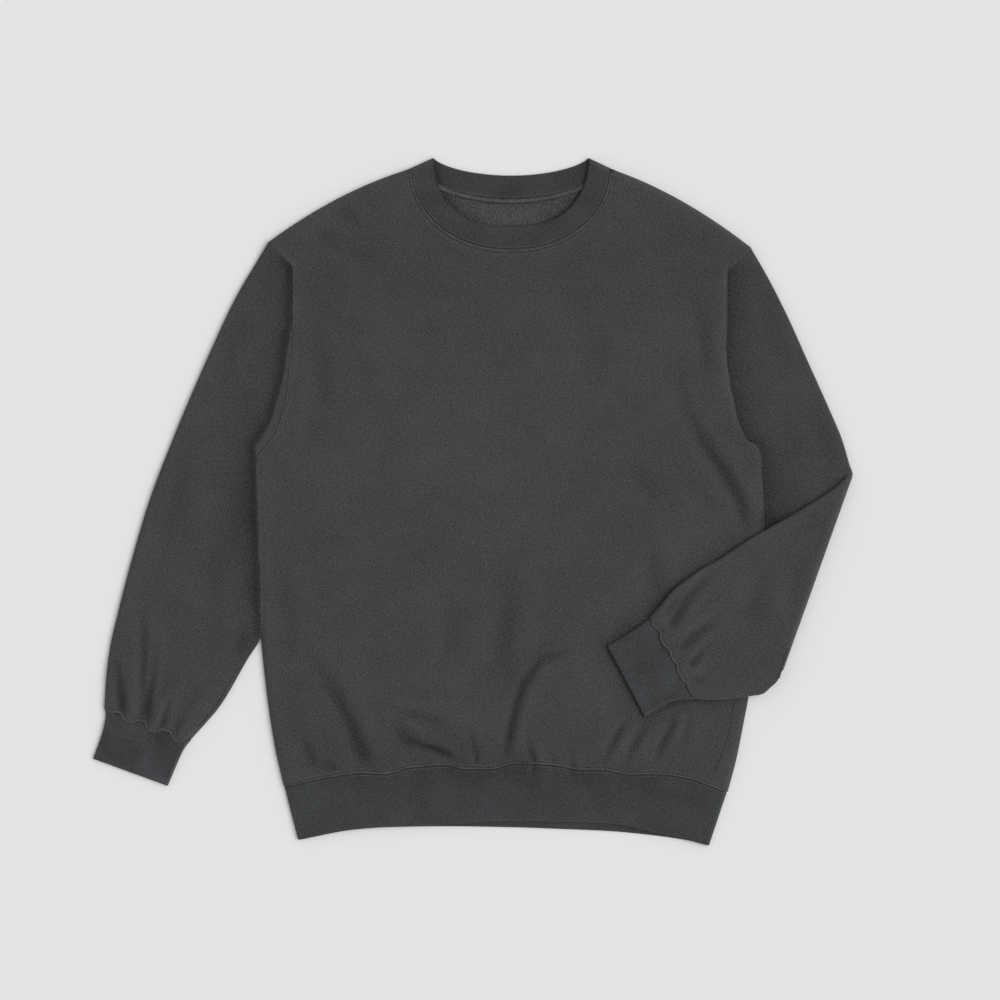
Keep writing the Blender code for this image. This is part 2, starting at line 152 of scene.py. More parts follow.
# Sleeves: place along the sleeve, outer x, outer y, underarm x, underarm y
STRAIGHT_SLEEVE = [
    (0.15, -252.3, 213.6, -226.6, 39.0), (0.30, -282.0, 150.0, -222.6, 13.0),
    (0.45, -313.8, 75.8, -221.0, -19.6), (0.58, -342.4, 1.6, -219.8, -62.0),
    (0.70, -361.5, -62.0, -219.0, -109.7), (0.80, -375.2, -115.0, -224.4, -142.0),
    (0.88, -384.8, -157.4, -240.6, -170.1), (0.95, -389.0, -194.5, -267.5, -216.0),
    (1.00, -390.1, -218.6, -299.2, -253.0),
]
UPPER_ARM = [
    (0.17, 313.8, 234.8, 301.0, 30.0), (0.34, 335.0, 192.4, 300.0, 0.0),
    (0.50, 354.0, 150.0, 300.5, -46.0), (0.66, 373.1, 107.6, 304.0, -93.8),
    (0.83, 391.1, 65.2, 313.0, -136.2),
]
FOREARM = [
    (0.00, 395.0, 26.0, 320.6, -183.0), (0.10, 381.6, 13.9, 318.5, -192.5),
    (0.22, 359.3, -1.1, 309.2, -202.0), (0.38, 323.0, -22.5, 291.9, -206.0),
    (0.52, 288.0, -42.5, 277.0, -208.5), (0.66, 259.7, -61.6, 262.0, -210.0),
    (0.80, 236.4, -74.7, 250.2, -210.0), (0.92, 206.0, -100.0, 240.0, -209.6),
    (1.00, 188.7, -121.9, 234.3, -208.8),
]
STRAIGHT_CUFF = [
    (0.0, -390.1, -218.8, -299.4, -253.3), (0.18, -388.6, -224.5, -302.6, -256.8),
    (0.5, -391.1, -240.1, -307.6, -264.5), (1.0, -401.8, -271.9, -323.3, -300.5),
]
FOLDED_CUFF = [
    (0.0, 188.7, -123.0, 234.3, -208.8), (0.4, 171.0, -135.5, 213.5, -210.6),
    (0.7, 158.5, -143.5, 199.0, -216.0), (1.0, 142.9, -152.7, 182.3, -227.1),
]


# ------------------------------------------------------------------ curves

def ease(t):
    """A soft step from 0 to 1."""
    t = np.clip(t, 0.0, 1.0)
    return t * t * (3.0 - 2.0 * t)


def blend(a, b, t):
    """The value that lies a part t of the way from a to b."""
    return a + (b - a) * t


def smooth(rows, at):
    """Columns of a table at given keys, on curves through its rows that never overshoot."""
    rows = np.asarray(rows, float)
    keys, values = rows[:, 0], rows[:, 1:]
    at = np.clip(np.asarray(at, float), keys[0], keys[-1])
    k = np.clip(np.searchsorted(keys, at, side="right") - 1, 0, len(keys) - 2)
    steps = np.diff(keys)
    slopes = np.diff(values, axis=0) / steps[:, None]
    product = slopes[1:] * slopes[:-1]
    total = np.where(product > 0, slopes[1:] + slopes[:-1], 1.0)
    inner = np.where(product > 0, 2.0 * product / total, 0.0)
    tangents = np.vstack([slopes[:1], inner, slopes[-1:]])
    t, h = ((at - keys[k]) / steps[k])[..., None], steps[k][..., None]
    return ((2 * t**3 - 3 * t**2 + 1) * values[k] + (t**3 - 2 * t**2 + t) * h * tangents[k]
            + (3 * t**2 - 2 * t**3) * values[k + 1] + (t**3 - t**2) * h * tangents[k + 1])


def column(rows, at):
    """The only value column of a table."""
    return smooth(rows, at)[..., 0]


def side_point(side, up):
    """Points on the body's side, up from 0 at the hem seam to 1 at the shoulder."""
    rows = LEFT_SIDE if side < 0 else RIGHT_SIDE
    y = blend(rows[0][0], rows[-1][0], np.asarray(up, float))
    return np.stack([column(rows, y), y], axis=-1)


def neck_point(curve, centre, half, top, f):
    """Points on a neck curve, from f = 0 at the left shoulder to 1 at the right."""
    dip, squareness, roundness = curve
    q = -np.cos(math.pi * np.asarray(f, float))
    fall = np.clip(1.0 - np.abs(q) ** squareness, 0.0, None) ** roundness
    return np.stack([centre + half * q, top - dip * fall], axis=-1)


def shoulder_point(side, f):
    """Points on the shoulder edge, from the sleeve at f = 0 to the neck at f = 1."""
    f = np.asarray(f, float)
    sleeve = side_point(side, 1.0)
    neck = np.array([NECK_X + side * NECK_HALF, NECK_Y])
    point = blend(sleeve, neck, f[..., None])
    point[..., 1] += 4 * SHOULDER_CURVE * f * (1 - f)
    return point


def shoulder_y(x):
    """The shoulder edge's y over a place, level across the neck."""
    left, right = side_point(-1, 1.0)[0], side_point(1, 1.0)[0]
    f_left = np.clip((x - left) / (NECK_X - NECK_HALF - left), 0, 1)
    f_right = np.clip((x - right) / (NECK_X + NECK_HALF - right), 0, 1)
    y_left, y_right = shoulder_point(-1, f_left)[..., 1], shoulder_point(1, f_right)[..., 1]
    return np.where(x < NECK_X, y_left, y_right)


# ------------------------------------------------------------------ soft relief

def ripple(x, y, size, seed):
    """Smooth, even unevenness of height about 1, with lumps of a given size."""
    lattice = np.random.default_rng(seed).uniform(-1.0, 1.0, (64, 64))
    u, v = x / size + 31.7, y / size + 17.3
    i, j = np.floor(u).astype(int), np.floor(v).astype(int)
    s, t = ease(u - i), ease(v - j)

    def corner(a, b):
        return lattice[(i + a) % 64, (j + b) % 64]

    return blend(blend(corner(0, 0), corner(1, 0), s), blend(corner(0, 1), corner(1, 1), s), t)


def lumps(x, y, rows):
    """Unevenness of more than one size together."""
    return sum(height * ripple(x, y, size, seed) for height, size, seed in rows)


def along_path(x, y, path):
    """Signed distance from a path, positive on its left, and how far along it a place is."""
    path = np.asarray(path, float)
    lengths = np.hypot(*np.diff(path, axis=0).T)
    total, done = lengths.sum(), 0.0
    nearest = np.full(np.shape(x), 1e9)
    signed, part = np.zeros_like(nearest), np.zeros_like(nearest)
    for (ax, ay), (bx, by), length in zip(path[:-1], path[1:], lengths):
        ux, uy = (bx - ax) / length, (by - ay) / length
        t = (x - ax) * ux + (y - ay) * uy
        held = np.clip(t, 0, length)
        distance = np.hypot(x - ax - held * ux, y - ay - held * uy)
        left = np.where(ux * (y - ay) - uy * (x - ax) >= 0, 1.0, -1.0)
        closer = distance < nearest
        nearest = np.where(closer, distance, nearest)
        signed = np.where(closer, distance * left, signed)
        part = np.where(closer, (done + held) / total, part)
        done += length
    return signed, part


def crease_part(x, y, path, deepest):
    """Signed distance from a crease, and how strong it is there, from 0 at its ends to 1."""
    distance, part = along_path(x, y, path)
    grown = np.where(part < deepest, part / max(deepest, 0.01),
                     (1 - part) / max(1 - deepest, 0.01))
    return distance, ease(0.12 + grown)


def crease_shade(x, y, rows):
    """How much painted shade darkens a set of creases."""
    shade = np.zeros(np.shape(x))
    for path, width, depth, _, _, deepest in rows:
        distance, strength = crease_part(x, y, path, deepest)
        shade += strength * depth * np.exp(-(distance / width) ** 2)
    return CREASE_SHADE * shade


def creases(x, y, rows):
    """Height of a set of creases: path, width, depth, ridge on its left, on its right, deepest."""
    height = np.zeros(np.shape(x))
    for path, width, depth, ridge_left, ridge_right, deepest in rows:
        distance, strength = crease_part(x, y, path, deepest)
        trough = -1.5 * depth * np.exp(-(distance / (1.15 * width)) ** 2)
        width = 1.2 * width
        left = 0.8 * ridge_left * np.exp(-((distance - 1.7 * width) / (1.25 * width)) ** 2)
        right = 0.8 * ridge_right * np.exp(-((distance + 1.7 * width) / (1.25 * width)) ** 2)
        height += strength * (trough + left + right)
    return RELIEF * height


# Creases of the front: path, width, depth, ridge on its left, ridge on its right, deepest place
FRONT_CREASES = [
    ([(-180, -150), (-148, -200), (-131, -233), (-120, -262), (-107, -281)], 7, 3.0, 1.6, 1.0,
     0.85),
    ([(-190, -232), (-176, -262), (-166, -284)], 6, 1.6, 1.2, 0.4, 0.8),
    ([(-164, -269), (-145, -285)], 4, 1.6, 1.0, 0.3, 0.8),
    ([(-92, -216), (-70, -224), (-45, -230), (-26, -240)], 5.5, 1.5, 1.8, 0.8, 0.5),
    ([(-92, -229), (-85, -235), (-72, -250), (-55, -256)], 6.0, 2.0, 1.2, 0.6, 0.6),
    ([(-78, -250), (-60, -256), (-44, -260), (-27, -267), (-17, -277)], 3.6, 3.4, 1.8, 0.3, 0.6),
    ([(-4, -236), (1, -258), (5, -280)], 2.4, 1.6, 1.0, 0.3, 0.85),
    ([(35, -56), (36, -125), (29, -164), (13, -205)], 12, 1.9, 0.9, 0.6, 0.6),
    ([(118, -150), (92, -160), (70, -168), (52, -194), (42, -228), (36, -258), (33, -280)], 4.4,
     3.0, 1.6, 0.7, 0.7),
    ([(96, -154), (66, -162), (44, -182), (30, -215)], 11, 1.3, 0.6, 0.2, 0.5),
    ([(56, -246), (60, -262), (66, -277)], 2.8, 2.0, 1.2, 0.5, 0.85),
    ([(83, -262), (86, -279)], 3, 1.1, 0.8, 0.3, 0.9),
    ([(103, -264), (106, -281)], 3, 1.0, 0.7, 0.3, 0.9),
    ([(167, -226), (157, -240), (146, -258), (136, -280)], 3.4, 2.6, 1.4, 0.7, 0.35),
    ([(193, -226), (181, -240), (170, -258), (160, -282)], 3.4, 2.8, 1.6, 0.8, 0.35),
    ([(219, -212), (209, -238), (200, -256), (190, -280)], 3.6, 2.8, 1.8, 0.8, 0.35),
    ([(232, -214), (226, -240), (218, -268)], 4.0, 1.4, 0.9, 0.5, 0.35),
    ([(213, 150), (224, 96), (245, 60), (264, 33), (281, 2), (290, -30), (295, -56)], 6.6, 2.9,
     1.5, 0.9, 0.72),
    ([(159, 46), (181, 24), (194, -5)], 10, 1.5, 0.8, 0.5, 0.6),
    ([(181, -37), (191, -68), (198, -99)], 10, 1.6, 0.8, 0.5, 0.7),
    ([(-150, 318), (-128, 300), (-110, 290)], 7, 0.8, 0.6, 0.4, 0.5),
    ([(-172, 292), (-152, 276), (-136, 270)], 7, 0.8, 0.6, 0.4, 0.5),
    ([(-140, 268), (-118, 258), (-100, 262)], 7, 0.8, 0.5, 0.4, 0.5),
    ([(-105, 150), (-88, 60), (-80, -30)], 18, 0.7, 0.5, 0.4, 0.5),
    ([(110, 250), (128, 180), (132, 110)], 16, 0.6, 0.4, 0.3, 0.5),
    ([(-205, -60), (-196, -120), (-194, -170)], 9, 1.0, 0.6, 0.4, 0.5),
    ([(236, 212), (246, 150), (250, 110)], 8, 1.0, 0.6, 0.3, 0.5),
    ([(-170, 200), (-160, 130), (-168, 70)], 10, 0.9, 0.6, 0.5, 0.5),
    ([(-30, -90), (-20, -140), (-38, -190)], 11, 0.8, 0.6, 0.4, 0.5),
]

# Creases of the sleeves, same columns
STRAIGHT_CREASES = [
    ([(-382, -150), (-376, -185), (-372, -228)], 3.8, 2.8, 1.4, 1.2, 1.0),
    ([(-350, -94), (-349, -150), (-350, -190), (-351, -232)], 4.4, 2.6, 1.4, 1.6, 0.9),
    ([(-337, -139), (-340, -185), (-344, -210), (-346, -234)], 3.6, 3.0, 1.6, 1.2, 0.95),
    ([(-320, -206), (-326, -224), (-331, -241)], 3.2, 2.6, 1.6, 1.2, 1.0),
    ([(-311, -222), (-313, -234), (-315, -248)], 2.8, 1.6, 1.0, 0.6, 0.9),
    ([(-238, -116), (-244, -145), (-253, -172)], 7, 2.0, 0.6, 1.2, 0.5),
    ([(-300, 60), (-318, -10), (-330, -70)], 12, 1.0, 0.8, 0.4, 0.5),
    ([(-268, -20), (-272, -70), (-282, -120)], 10, 1.1, 0.7, 0.6, 0.5),
    ([(-246, 200), (-262, 150), (-270, 100)], 10, 0.9, 0.6, 0.3, 0.5),
]

FOREARM_CREASES = [
    ([(262, -66), (244, -82), (222, -107), (207, -136)], 4.4, 2.4, 1.0, 1.6, 0.85),
    ([(268, -112), (250, -128), (232, -143), (218, -157)], 4.6, 2.2, 1.0, 1.4, 0.85),
    ([(250, -150), (238, -163), (228, -175)], 3.4, 2.0, 0.8, 1.2, 0.9),
    ([(248, -186), (232, -190)], 3.5, 1.2, 0.6, 0.8, 0.7),
    ([(230, -86), (216, -100), (202, -122)], 3.4, 1.6, 0.8, 0.8, 0.9),
    ([(318, -66), (298, -108), (292, -140)], 12, 1.4, 0.8, 1.0, 0.5),
    ([(352, -40), (346, -90), (336, -130)], 12, 1.0, 0.6, 0.8, 0.5),
]

UPPER_CREASES = [
    ([(300, 235), (316, 180), (330, 130)], 10, 0.9, 0.5, 0.5, 0.5),
    ([(352, 118), (370, 70), (384, 34)], 9, 1.0, 0.5, 0.7, 0.6),
]

# Edges of the forearm and its cuff as they lie on the front, from the elbow and to it
FOREARM_UPPER_EDGE = [(402, 28), (381, 14), (359, -1), (308, -34), (250, -68), (206, -100),
                      (188, -122), (143, -153)]
FOREARM_LOWER_EDGE = [(143, -153), (182, -227), (213, -211), (234, -209), (330, -207)]


def beside_forearm(x, y):
    """Distances outside the upper and the lower edge of the forearm and its cuff."""
    above = -along_path(x, y, FOREARM_UPPER_EDGE)[0]
    below = -along_path(x, y, FOREARM_LOWER_EDGE)[0]
    return above, below


def clear_of_forearm(x, y):
    """Distance from the forearm and its cuff as they lie on the front, 0 below them."""
    return np.clip(np.maximum(*beside_forearm(x, y)), 0.0, None)


def neck_distance(x, y):
    """Distance below the front neck seam."""
    seam = neck_point(FRONT_SEAM, NECK_X, NECK_HALF, NECK_Y, np.linspace(0, 1, 25))
    return np.abs(along_path(x, y, seam)[0])


def front_height(x, y):
    """Outer height of the front panel, with its crown, creases and turned-down sides."""
    left, right = x - column(LEFT_SIDE, y), column(RIGHT_SIDE, y) - x
    top = shoulder_y(x) - y
    inset = np.minimum(np.minimum(left, right), top)
    hem = y - column(HEM_SEAM, x)
    neck = neck_distance(x, y)
    crown = ease(inset / CROWN_REACH) * ease(hem / CROWN_HEM_REACH) * ease(neck / CROWN_NECK_REACH)
    height = BODY_CROWN * crown + creases(x, y, FRONT_CREASES)
    height += 1.5 * ripple(x, y, 95.0, 2) * ease(inset / 40.0) * ease(hem / 40.0)
    height += lumps(x, y, LUMPS["front"])
    height += lumps(x, y * 0.2, LUMPS["hem gathers"]) * np.exp(-(hem / GATHER_REACH) ** 2)
    height *= ease(inset / SIDE_CALM) * ease(neck / NECK_CALM)
    open_part = ease(clear_of_forearm(x, y) / FOREARM_CALM)
    pressed = np.minimum(BODY_TOP + height, BODY_PRESSED + 0.06 * height)
    height = blend(pressed, BODY_TOP + height, open_part)
    height -= HEM_DIP * np.exp(-(hem / DIP_REACH) ** 2)
    height -= NECK_DIP * np.exp(-(neck / DIP_REACH) ** 2)
    folded_left = 1.0 - ease((y - 32.0) / 12.0)
    folded_right = 1.0 - ease((y - 238.0) / 14.0)
    foot_left = blend(SIDE_FOOT, SIDE_FOOT_ON_SLEEVE, ease((y + 165.0) / 30.0))
    foot_right = blend(SIDE_FOOT, SIDE_FOOT_ON_SLEEVE, ease((y + 190.0) / 30.0))
    for edge, folded, foot in ((left, folded_left, foot_left), (right, folded_right, foot_right),
                               (top, neck_open(x), SIDE_FOOT)):
        turn = np.sqrt(1.0 - np.clip(1.0 - edge / SIDE_ROLL, 0.0, 1.0) ** 2)
        height = blend(height, foot + (height - foot) * turn, folded)
    return np.maximum(height, SIDE_FOOT - 0.2)


def neck_open(x):
    """1 where the panel's top turns down at a shoulder, 0 where it meets the collar."""
    return ease((np.abs(x - NECK_X) - NECK_HALF + 0.5) / 6.0)


# ------------------------------------------------------------------ heights of the other pieces

def path_of(side_rows):
    """A side table as a path from its lowest row to its highest."""
    return [(x, y) for y, x in side_rows]


def out_of_valley(beyond, near, far):
    """Rise of a sleeve from 0 beside the body to 1: first quickly, then slowly."""
    return 0.5 * ease(beyond / near) + 0.5 * ease(beyond / far)


# Outer edges of the sleeves, from the shoulder down
STRAIGHT_OUTER = [(-213, 275), (-252, 214), (-314, 76), (-361, -62), (-388, -190)]
FOLDED_OUTER = [(293, 270), (314, 235), (354, 150), (391, 65), (402, 28)]
# A sleeve rises out of the valley beside the body: quickly at first, then slowly
STRAIGHT_RISE = (22.0, 75.0)
FOLDED_RISE = (26.0, 80.0)
# Drop of the armhole strip below the body, and of the sleeve's start below that
STRIP_DROP = 0.4
START_DROP = 1.0


def straight_height(x, y):
    """Outer height of the straight sleeve: over the armhole strip, into the valley and out."""
    side = path_of([row for row in LEFT_SIDE if row[0] < 40.0])
    beyond = along_path(x, y, side + path_of(LEFT_TURN[1:]))[0]
    plateau = BODY_TOP - STRIP_DROP + 0.2 * ripple(x, y, 12.0, 8)
    low = blend(BODY_TOP - START_DROP, VALLEY, ease((268.0 - y) / 22.0))
    outer = along_path(x, y, STRAIGHT_OUTER)[0]
    crown = SLEEVE_CROWN * ease(-outer / 55.0) * ease((y + 235) / 80.0)
    top = SLEEVE_TOP + crown + lumps(x, y, LUMPS["straight sleeve"])
    top = top + creases(x, y, STRAIGHT_CREASES)
    risen = blend(low, top, out_of_valley(beyond, *STRAIGHT_RISE))
    height = blend(plateau, risen, ease((beyond + 1.5) / 7.0) * ease((270.0 - y) / 4.0))
    return np.maximum(height, VALLEY)


def upper_arm_height(x, y):
    """Outer height of the folded sleeve above its elbow."""
    beyond = -along_path(x, y, path_of(RIGHT_SIDE))[0]
    low = blend(BODY_TOP - START_DROP, VALLEY, ease((262.0 - y) / 24.0))
    outer = -along_path(x, y, FOLDED_OUTER)[0]
    free = ease((-along_path(x, y, FOREARM_UPPER_EDGE)[0] - 4.0) / 34.0)
    crown = free * (SLEEVE_CROWN * ease(-outer / 45.0) + creases(x, y, UPPER_CREASES))
    top = SLEEVE_TOP + crown + 0.3 * ripple(x, y, 34.0, 11) * free
    return np.maximum(blend(low, top, out_of_valley(beyond, *FOLDED_RISE)), VALLEY)


def forearm_height(x, y):
    """How far the forearm's upper layer stands above its level."""
    height = lumps(x, y, LUMPS["forearm"]) + creases(x, y, FOREARM_CREASES)
    return np.maximum(height, FOREARM_DEEPEST)


# ------------------------------------------------------------------ building cloth

def lengths_along(points, axis):
    """Distance along the middle row or column of a grid of points."""
    middle = points[points.shape[0] // 2] if axis == 1 else points[:, points.shape[1] // 4]
    steps = np.linalg.norm(np.diff(middle, axis=0), axis=1)
    return np.concatenate([[0.0], np.cumsum(steps)])


def box_blur(z, cells):
    """A grid's values averaged over a square of cells."""
    for axis in range(z.ndim):
        pad = [(cells + 1, cells) if k == axis else (0, 0) for k in range(z.ndim)]
        total = np.cumsum(np.pad(z, pad, mode="edge"), axis=axis)
        width = 2 * cells + 1
        ahead = np.take(total, np.arange(width, total.shape[axis]), axis=axis)
        behind = np.take(total, np.arange(0, total.shape[axis] - width), axis=axis)
        z = (ahead - behind) / width
    return z


# Painted shade for each millimetre of hollow, its darkest, its palest as painted light on raised
# cloth, and the darkest of all painted tone together
HOLLOW_SHADE = -0.05
HOLLOW_RANGE = (-0.26, 0.08)
DARKEST = -0.62
CELLS_ROUND = 5
# Painted shadow on the sleeves beside the body: its tone on each side, and its near and far reach
SHADOW_BESIDE_BODY = (-0.26, -0.22)
SHADOW_BESIDE_REACH = (11.0, 28.0)
# Painted shadow on the front beside the forearm's upper and lower edges: the tone and the reach of
# each
SHADOW_ABOVE_FOREARM = (0.18, 10.0)
SHADOW_BELOW_FOREARM = (0.42, 4.2)
# Soft patches of painted shade and painted light, darker beside the armholes, neck points and hem
# seam and paler on the chest: x, y, half width, half height, tone
PAINTED_PATCHES = [
    (-10, 45, 130, 62, 0.075), (80, 130, 60, 50, 0.04), (-105, 268, 75, 40, -0.07),
    (232, 262, 42, 42, -0.09), (-30, -285, 95, 17, -0.15), (90, -292, 80, 16, -0.10),
    (175, -290, 60, 18, -0.06), (-150, -262, 30, 40, -0.08), (37, 296, 26, 12, 0.16),
    (-45, 318, 14, 12, -0.10), (118, 318, 14, 12, -0.12), (-330, 40, 40, 90, -0.02),
    (20, -95, 40, 50, -0.05), (240, -75, 50, 30, 0.10), (-190, -40, 26, 110, 0.02),
    (250, 40, 26, 40, -0.08), (-120, -255, 50, 30, -0.09), (-30, -258, 50, 16, -0.09),
    (-385, -245, 30, 30, -0.05), (-95, -294, 16, 13, -0.13), (-62, -254, 22, 12, -0.08),
    (40, -262, 8, 24, -0.10), (8, -262, 7, 18, -0.08), (62, -272, 8, 12, -0.08),
    (-246, -10, 15, 60, -0.17), (-236, -128, 9, 24, 0.12), (30, 240, 190, 52, -0.06),
    (45, -338, 230, 13, 0.10), (322, 40, 12, 130, 0.05),
]
# Soft shade that only the lower layers take, beside what lies on them, same columns
LOW_SHADE = [
    (320, 14, 14, 34, -0.14), (315, -21, 11, 7, -0.50), (334, -12, 26, 11, -0.14),
    (37, 321, 62, 6, -0.14),
]


def opening_shade(x, y):
    """How much darker the inside of the neck is beside the front collar, most at its sides."""
    edge = neck_point(FRONT_EDGE, COLLAR_X, COLLAR_HALF, COLLAR_Y, np.linspace(0, 1, 25))
    inside = along_path(x, y, edge)[0]
    aside = ease((np.abs(x - COLLAR_X) - 18.0) / 45.0)
    near, far = np.exp(-(inside / 6.0) ** 2), np.exp(-np.abs(inside) / 12.0)
    return (inside > -1.0) * ((0.10 + 0.13 * aside) * near + 0.30 * aside * far)


def painted_light_and_shade(points, rows):
    """Painted shade in hollows, in creases and beside the pieces lying over the cloth, painted
    light on raised cloth, and soft painted patches.
    """
    x, y, z = points[..., 0], points[..., 1], points[..., 2]
    hollow = box_blur(box_blur(z, CELLS_ROUND), CELLS_ROUND) - z
    tone = np.clip(HOLLOW_SHADE * hollow, *HOLLOW_RANGE) - crease_shade(x, y, rows)
    lower_layer = 1.0 - ease((z - 11.0) / 1.5)
    for table, share in ((PAINTED_PATCHES, 1.0), (LOW_SHADE, lower_layer)):
        for at_x, at_y, half_x, half_y, amount in table:
            spread = ((x - at_x) / half_x) ** 2 + ((y - at_y) / half_y) ** 2
            tone += share * amount * np.exp(-spread)
    tone -= (z < 7.0) * opening_shade(x, y)
    left = along_path(x, y, path_of(LEFT_SIDE[3:5]) + path_of(LEFT_TURN[1:-3]))[0]
    right = -along_path(x, y, path_of(RIGHT_SIDE[3:-3]))[0]
    low = 1.0 - ease((z - 9.0) / 1.5)
    near_reach, far_reach = SHADOW_BESIDE_REACH
    for beside, amount in ((left, SHADOW_BESIDE_BODY[0]), (right, SHADOW_BESIDE_BODY[1] * low)):
        near, far = np.exp(-(beside / near_reach) ** 2), np.exp(-np.abs(beside) / far_reach)
        tone += np.where(beside > -1.0, amount * (0.9 * near + far), 0.0)
    under = (z < 12.3) * ease((300.0 - x) / 60.0)
    for away, (amount, reach) in zip(beside_forearm(x, y), (SHADOW_ABOVE_FOREARM, SHADOW_BELOW_FOREARM)):
        tone -= under * (away > 0.3) * amount * np.exp(-(away / reach) ** 2)
    return np.maximum(tone, DARKEST)


def cloth(name, points, wall, material, closed=False, folds=(), shade=0.0):
    """Cloth through a grid of points, with its own map in metres and its painted light and shade,
    the creases' painted shade among it.
    """
    rows, columns = points.shape[0] - 1, points.shape[1] - 1
    grid = bmesh.new()
    bmesh.ops.create_grid(grid, x_segments=columns, y_segments=rows, size=1.0)
    mesh = bpy.data.meshes.new(name)
    grid.to_mesh(mesh)
    grid.free()
    flat = np.empty(len(mesh.vertices) * 3)
    mesh.vertices.foreach_get("co", flat)
    i = np.rint((flat[0::3] + 1.0) / 2.0 * columns).astype(int)
    j = np.rint((flat[1::3] + 1.0) / 2.0 * rows).astype(int)
    mesh.vertices.foreach_set("co", (points[j, i] * MM).ravel())
    around, along = lengths_along(points, 1), lengths_along(points, 0)
    corners = np.empty(len(mesh.loops), np.int32)
    mesh.loops.foreach_get("vertex_index", corners)
    places = np.stack([around[i], along[j]], axis=-1)[corners] * MM
    mesh.uv_layers.new(name="cloth").uv.foreach_set("vector", places.ravel())
    # This attribute carries the cloth's painted light and shade, with any extra tone given
    wear_and_painted_light = mesh.attributes.new("wear_and_painted_light", "FLOAT", "POINT")
    tone = painted_light_and_shade(points, folds) + shade
    wear_and_painted_light.data.foreach_set("value", tone[j, i])
    if closed:
        tube = bmesh.new()
        tube.from_mesh(mesh)
        bmesh.ops.remove_doubles(tube, verts=tube.verts, dist=1e-7)
        tube.to_mesh(mesh)
        tube.free()
    mesh.shade_smooth()
    mesh.materials.append(material)
    piece = bpy.data.objects.new(name, mesh)
    bpy.context.scene.collection.objects.link(piece)
    if wall:
        wall_modifier = piece.modifiers.new("wall", "SOLIDIFY")
        wall_modifier.thickness = wall * MM
        wall_modifier.offset = -1.0
    return piece


def panel_grid(curve, columns, neck_columns, rows, crowding):
    """Plan of a body panel, from the hem seam up to the shoulders and neck."""
    part = (np.arange(columns) / columns) ** 1.35
    top = np.concatenate([
        shoulder_point(-1, part),
        neck_point(curve, NECK_X, NECK_HALF, NECK_Y, np.linspace(0, 1, neck_columns)),
        shoulder_point(1, part)[::-1],
    ])
    t = np.linspace(0, 1, rows)
    up = (t - crowding * np.sin(2 * math.pi * t) / (2 * math.pi))[:, None]
    left, right = side_point(-1, up), side_point(1, up)
    f = ((top[:, 0] - top[0, 0]) / (top[-1, 0] - top[0, 0]))[None, :]
    below_x = blend(left[0, 0, 0], right[0, 0, 0], f)
    x = blend(below_x, top[None, :, 0], up)
    y = blend(column(HEM_SEAM, below_x), top[None, :, 1], up)
    x = x + ease(1 - 3.4 * f) * (left[..., 0] - blend(left[0, 0, 0], top[0, 0], up))
    x = x + ease(3.4 * f - 2.4) * (right[..., 0] - blend(right[0, 0, 0], top[-1, 0], up))
    return x, y


def flat_tube(s, front, back, top, bottom, roll, turns, flats):
    """Points of a tube laid flat: layers front and back, joined by a rounded fold each side."""
    s = s[:, None]
    width = np.linalg.norm(front(s, np.ones_like(s)) - front(s, np.zeros_like(s)), axis=-1)
    angle = np.linspace(0, math.pi / 2, turns + 1)[None, :]
    inset = roll * (1 - np.cos(angle)) / width
    middle = blend(inset[:, -1:], 1 - inset[:, -1:], np.linspace(0, 1, flats + 1)[None, :])
    a = np.concatenate([inset[:, :-1], middle, 1 - inset[:, ::-1][:, 1:]], axis=1)
    bend = np.sin(angle) * np.ones_like(inset)
    lift = np.concatenate([bend[:, :-1], np.ones_like(middle), bend[:, ::-1][:, 1:]], axis=1)
    s = s * np.ones_like(a)

    def layer(plan, upper):
        place = plan(s, a)
        x, y = place[..., 0], place[..., 1]
        high, low = top(x, y, s, a), bottom(x, y, s, a)
        z = (high + low) / 2 + lift * (high - low) / 2 * (1 if upper else -1)
        return np.stack([x, y, z], axis=-1)

    upper, lower = layer(front, True), layer(back, False)
    return np.concatenate([upper, lower[:, ::-1][:, 1:-1], upper[:, :1]], axis=1)


def section_plan(rows, side=0, fade=0.3):
    """Plan of a sleeve or cuff from its sections; a sleeve's first ones follow its armhole."""
    def plan(s, a):
        values = smooth(rows, s)
        outer, under = values[..., 0:2], values[..., 2:4]
        point = blend(outer, under, a[..., None])
        if side:
            gap = np.array([side * SEAM_GAP, 0.0])
            seam = side_point(side, blend(1.0, ARMPIT, a)) + gap
            chord = blend(np.array(rows[0][1:3]), np.array(rows[0][3:5]), a[..., None])
            share = np.clip(1 - s / fade, 0, 1) ** ARMHOLE_FADE
            point = point + (seam - chord) * share[..., None]
        return point

    return plan


def armhole_row(side):
    """First section of a sleeve: the shoulder and the armpit."""
    shoulder, armpit = side_point(side, 1.0), side_point(side, ARMPIT)
    gap = side * SEAM_GAP
    return (0.0, shoulder[0] + gap, shoulder[1], armpit[0] + gap, armpit[1])


def crowded(count, power):
    """Places from 0 to 1, closer together near 0."""
    return np.linspace(0, 1, count) ** power


def puffs(a, rows):
    """Gathered cloth at a cuff: centre, half width and height of each puff."""
    return sum(height * np.exp(-((a - centre) / half) ** 4) for centre, half, height in rows)


# Gathers at each cuff: centre, half width and height of each puff, across the sleeve
STRAIGHT_PUFFS = [(0.04, 0.07, 0.5), (0.285, 0.078, 0.85), (0.565, 0.078, 1.0), (0.87, 0.085, 1.0)]
FOLDED_PUFFS = [(0.06, 0.09, 1.0), (0.30, 0.08, 0.8), (0.50, 0.06, 0.4), (0.70, 0.09, 0.8),
                (0.92, 0.08, 0.35)]
# How far the gathers hang over a cuff: over the puffs, and between them
STRAIGHT_REACH = (4.6, -1.7)
FOLDED_REACH = (2.6, -0.9)
CUFF_WAY = (-0.32, -0.947)


def overhang(a, rows, reach):
    """How far the gathered cloth reaches past the start of its cuff."""
    return reach[1] + (reach[0] - reach[1]) * puffs(a, rows)


